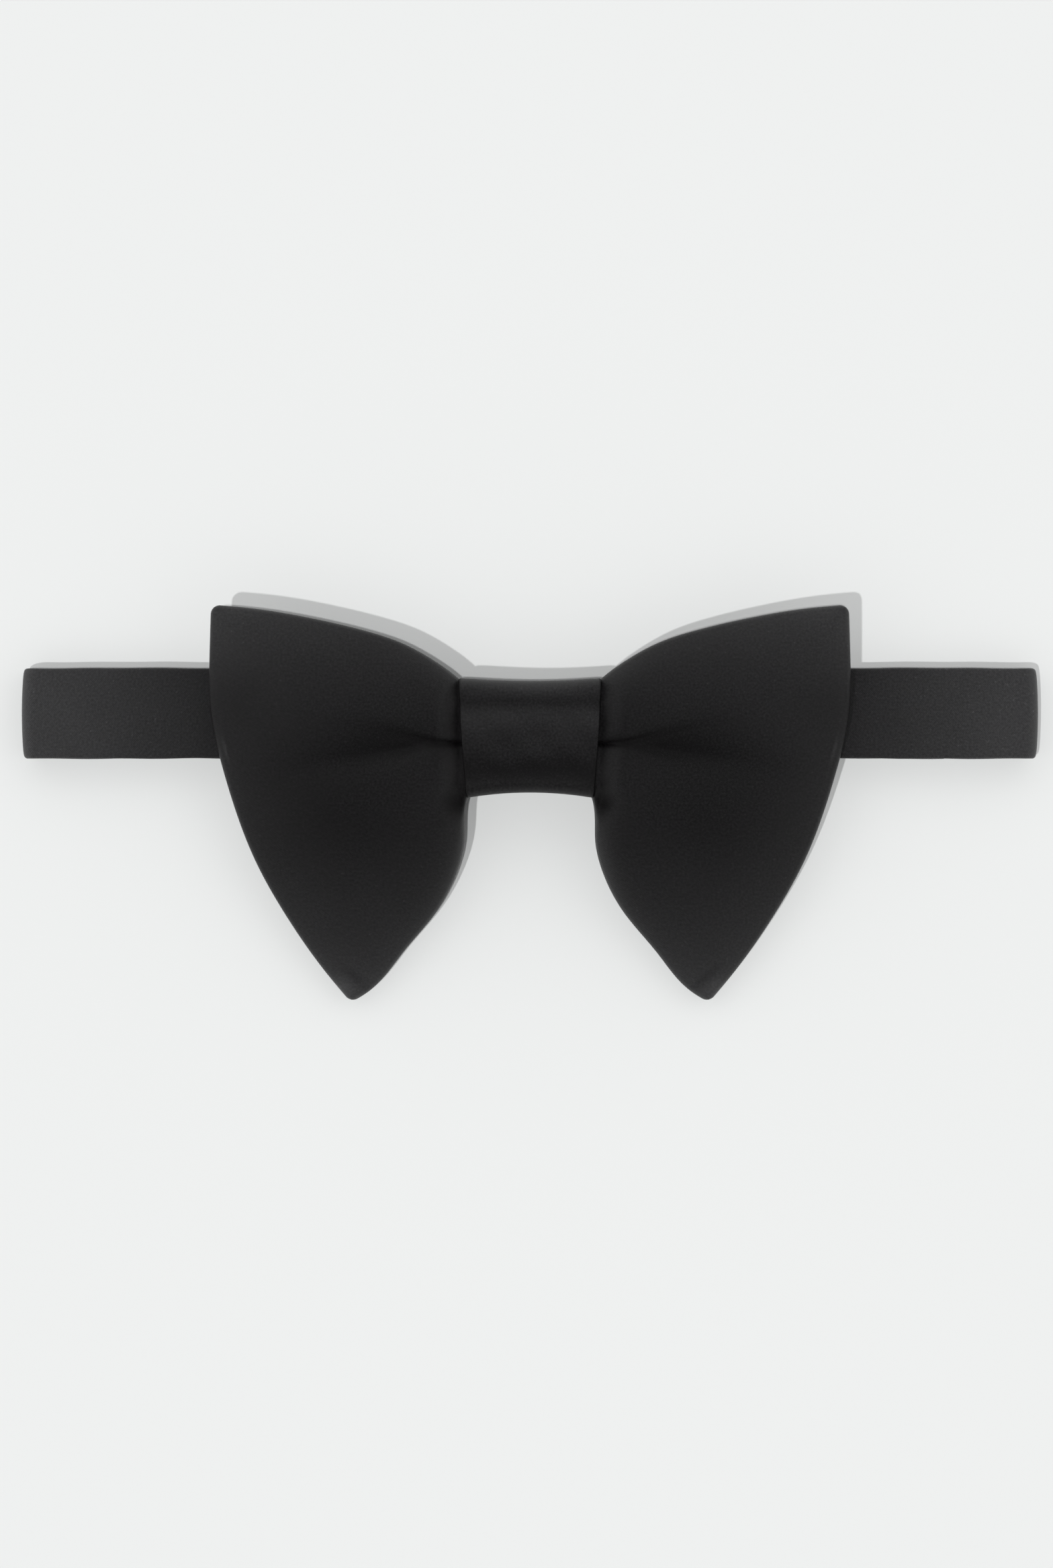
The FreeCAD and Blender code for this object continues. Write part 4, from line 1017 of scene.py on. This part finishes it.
stage = {
    "floorColour": (0.865, 0.878, 0.872),
    "floorDrop": 0.2,
    "floorHalf": 3000,
    "keySlope": 0.38,  # tangent of the key light's angle from straight down
    "keyHeading": 42,  # degrees from +X towards +Y, the way its light travels
    "keyStrength": 1.06,
    "sunAngle": 1.6,  # degrees across, for both lights
    "overheadSlope": 0.08,
    "overheadStrength": 0.90,
    "backdropColour": (0.86, 0.875, 0.868),
    "zenith": 0.094,
    "ring": 0.47,
    "ringFrom": 22,  # degrees off the zenith
    "ringTo": 62,
    "sideBoost": 0.235,
    "topBoost": 0.235,
}


# A flat plate, seen only from above.
def makeFloor():
    half, z = stage["floorHalf"] * mm, -stage["floorDrop"] * mm
    mesh = bpy.data.meshes.new("floor")
    corners = [(-half, -half, z), (half, -half, z), (half, half, z), (-half, half, z)]
    mesh.from_pydata(corners, [], [(0, 1, 2, 3)])
    floor = bpy.data.objects.new("floor", mesh)
    bpy.context.scene.collection.objects.link(floor)
    material, nodes, links, shader = newMaterial("paleFloor")
    shader.inputs["Base Color"].default_value = (*stage["floorColour"], 1)
    shader.inputs["Roughness"].default_value = 0.9
    shader.inputs["Specular IOR Level"].default_value = 0.0
    clear = nodes.new("ShaderNodeBsdfTransparent")
    side = nodes.new("ShaderNodeNewGeometry")
    choose = nodes.new("ShaderNodeMixShader")
    links.new(side.outputs["Backfacing"], choose.inputs[0])
    links.new(shader.outputs[0], choose.inputs[1])
    links.new(clear.outputs[0], choose.inputs[2])
    links.new(choose.outputs[0], nodes["Material Output"].inputs["Surface"])
    mesh.materials.append(material)


# Parallel light that slopes away from straight down along the key's heading.
def makeSun(name, strength, slope):
    heading = math.radians(stage["keyHeading"])
    direction = (slope * math.cos(heading), slope * math.sin(heading), -1)
    light = bpy.data.lights.new(name, "SUN")
    light.energy = strength
    light.angle = math.radians(stage["sunAngle"])
    sun = bpy.data.objects.new(name, light)
    sun.rotation_mode = "QUATERNION"
    sun.rotation_quaternion = Vector(direction).to_track_quat("-Z", "Y")
    sun.visible_glossy = False
    bpy.context.scene.collection.objects.link(sun)


# Pale studio: plain to the camera. As light it is a ring of soft boxes: dim overhead, bright from a
# given angle off the zenith, stronger at the two sides (x squared) and at the top (y) than below.
def makeWorld():
    world = bpy.data.worlds.new("studio")
    bpy.context.scene.world = world
    world.use_nodes = True
    nodes, links = world.node_tree.nodes, world.node_tree.links
    place = nodes.new("ShaderNodeTexCoord")
    part = nodes.new("ShaderNodeSeparateXYZ")
    links.new(place.outputs["Generated"], part.inputs[0])
    x, y, z = part.outputs
    angle = mathNode(nodes, links, "ARCCOSINE", z)
    ring = nodes.new("ShaderNodeMapRange")
    ring.interpolation_type = "SMOOTHSTEP"
    ring.inputs["From Min"].default_value = math.radians(stage["ringFrom"])
    ring.inputs["From Max"].default_value = math.radians(stage["ringTo"])
    ring.inputs["To Min"].default_value = 0
    ring.inputs["To Max"].default_value = 1
    links.new(angle, ring.inputs["Value"])
    sides = mathNode(nodes, links, "MULTIPLY", mathNode(nodes, links, "MULTIPLY", x, x), stage["sideBoost"])
    top = mathNode(nodes, links, "MULTIPLY", y, stage["topBoost"])
    weight = mathNode(nodes, links, "ADD", mathNode(nodes, links, "ADD", sides, top), stage["ring"])
    light = mathNode(nodes, links, "ADD", mathNode(nodes, links, "MULTIPLY", weight, ring.outputs[0]),
                     stage["zenith"])
    seen = nodes.new("ShaderNodeLightPath")
    soft, plain = nodes["Background"], nodes.new("ShaderNodeBackground")
    soft.inputs["Color"].default_value = (1, 1, 1, 1)
    links.new(light, soft.inputs["Strength"])
    plain.inputs["Color"].default_value = (*stage["backdropColour"], 1)
    choose = nodes.new("ShaderNodeMixShader")
    links.new(seen.outputs["Is Camera Ray"], choose.inputs[0])
    links.new(soft.outputs[0], choose.inputs[1])
    links.new(plain.outputs[0], choose.inputs[2])
    links.new(choose.outputs[0], nodes["World Output"].inputs["Surface"])


makeFloor()
makeSun("key", stage["keyStrength"], stage["keySlope"])
makeSun("overhead", stage["overheadStrength"], stage["overheadSlope"])
makeWorld()

view = {
    "x": -0.7,
    "y": -14.45,
    "z": 6.0,  # height of the plane that the frame's height is measured in
    "frameHeight": 319.9,
    "lens": 100.0,
    "sensor": 36.0,
}
camera = bpy.data.cameras.new("camera")
camera.lens, camera.sensor_width, camera.sensor_fit = view["lens"], view["sensor"], "AUTO"
distance = view["frameHeight"] * view["lens"] / view["sensor"]
camera.clip_start, camera.clip_end = 0.01, 20
cameraObject = bpy.data.objects.new("camera", camera)
cameraObject.location = (view["x"] * mm, view["y"] * mm, (view["z"] + distance) * mm)
bpy.context.scene.collection.objects.link(cameraObject)
bpy.context.scene.camera = cameraObject
bpy.context.scene.view_settings.view_transform = "Standard"
bpy.context.scene.view_settings.look = "None"
print("stage set")
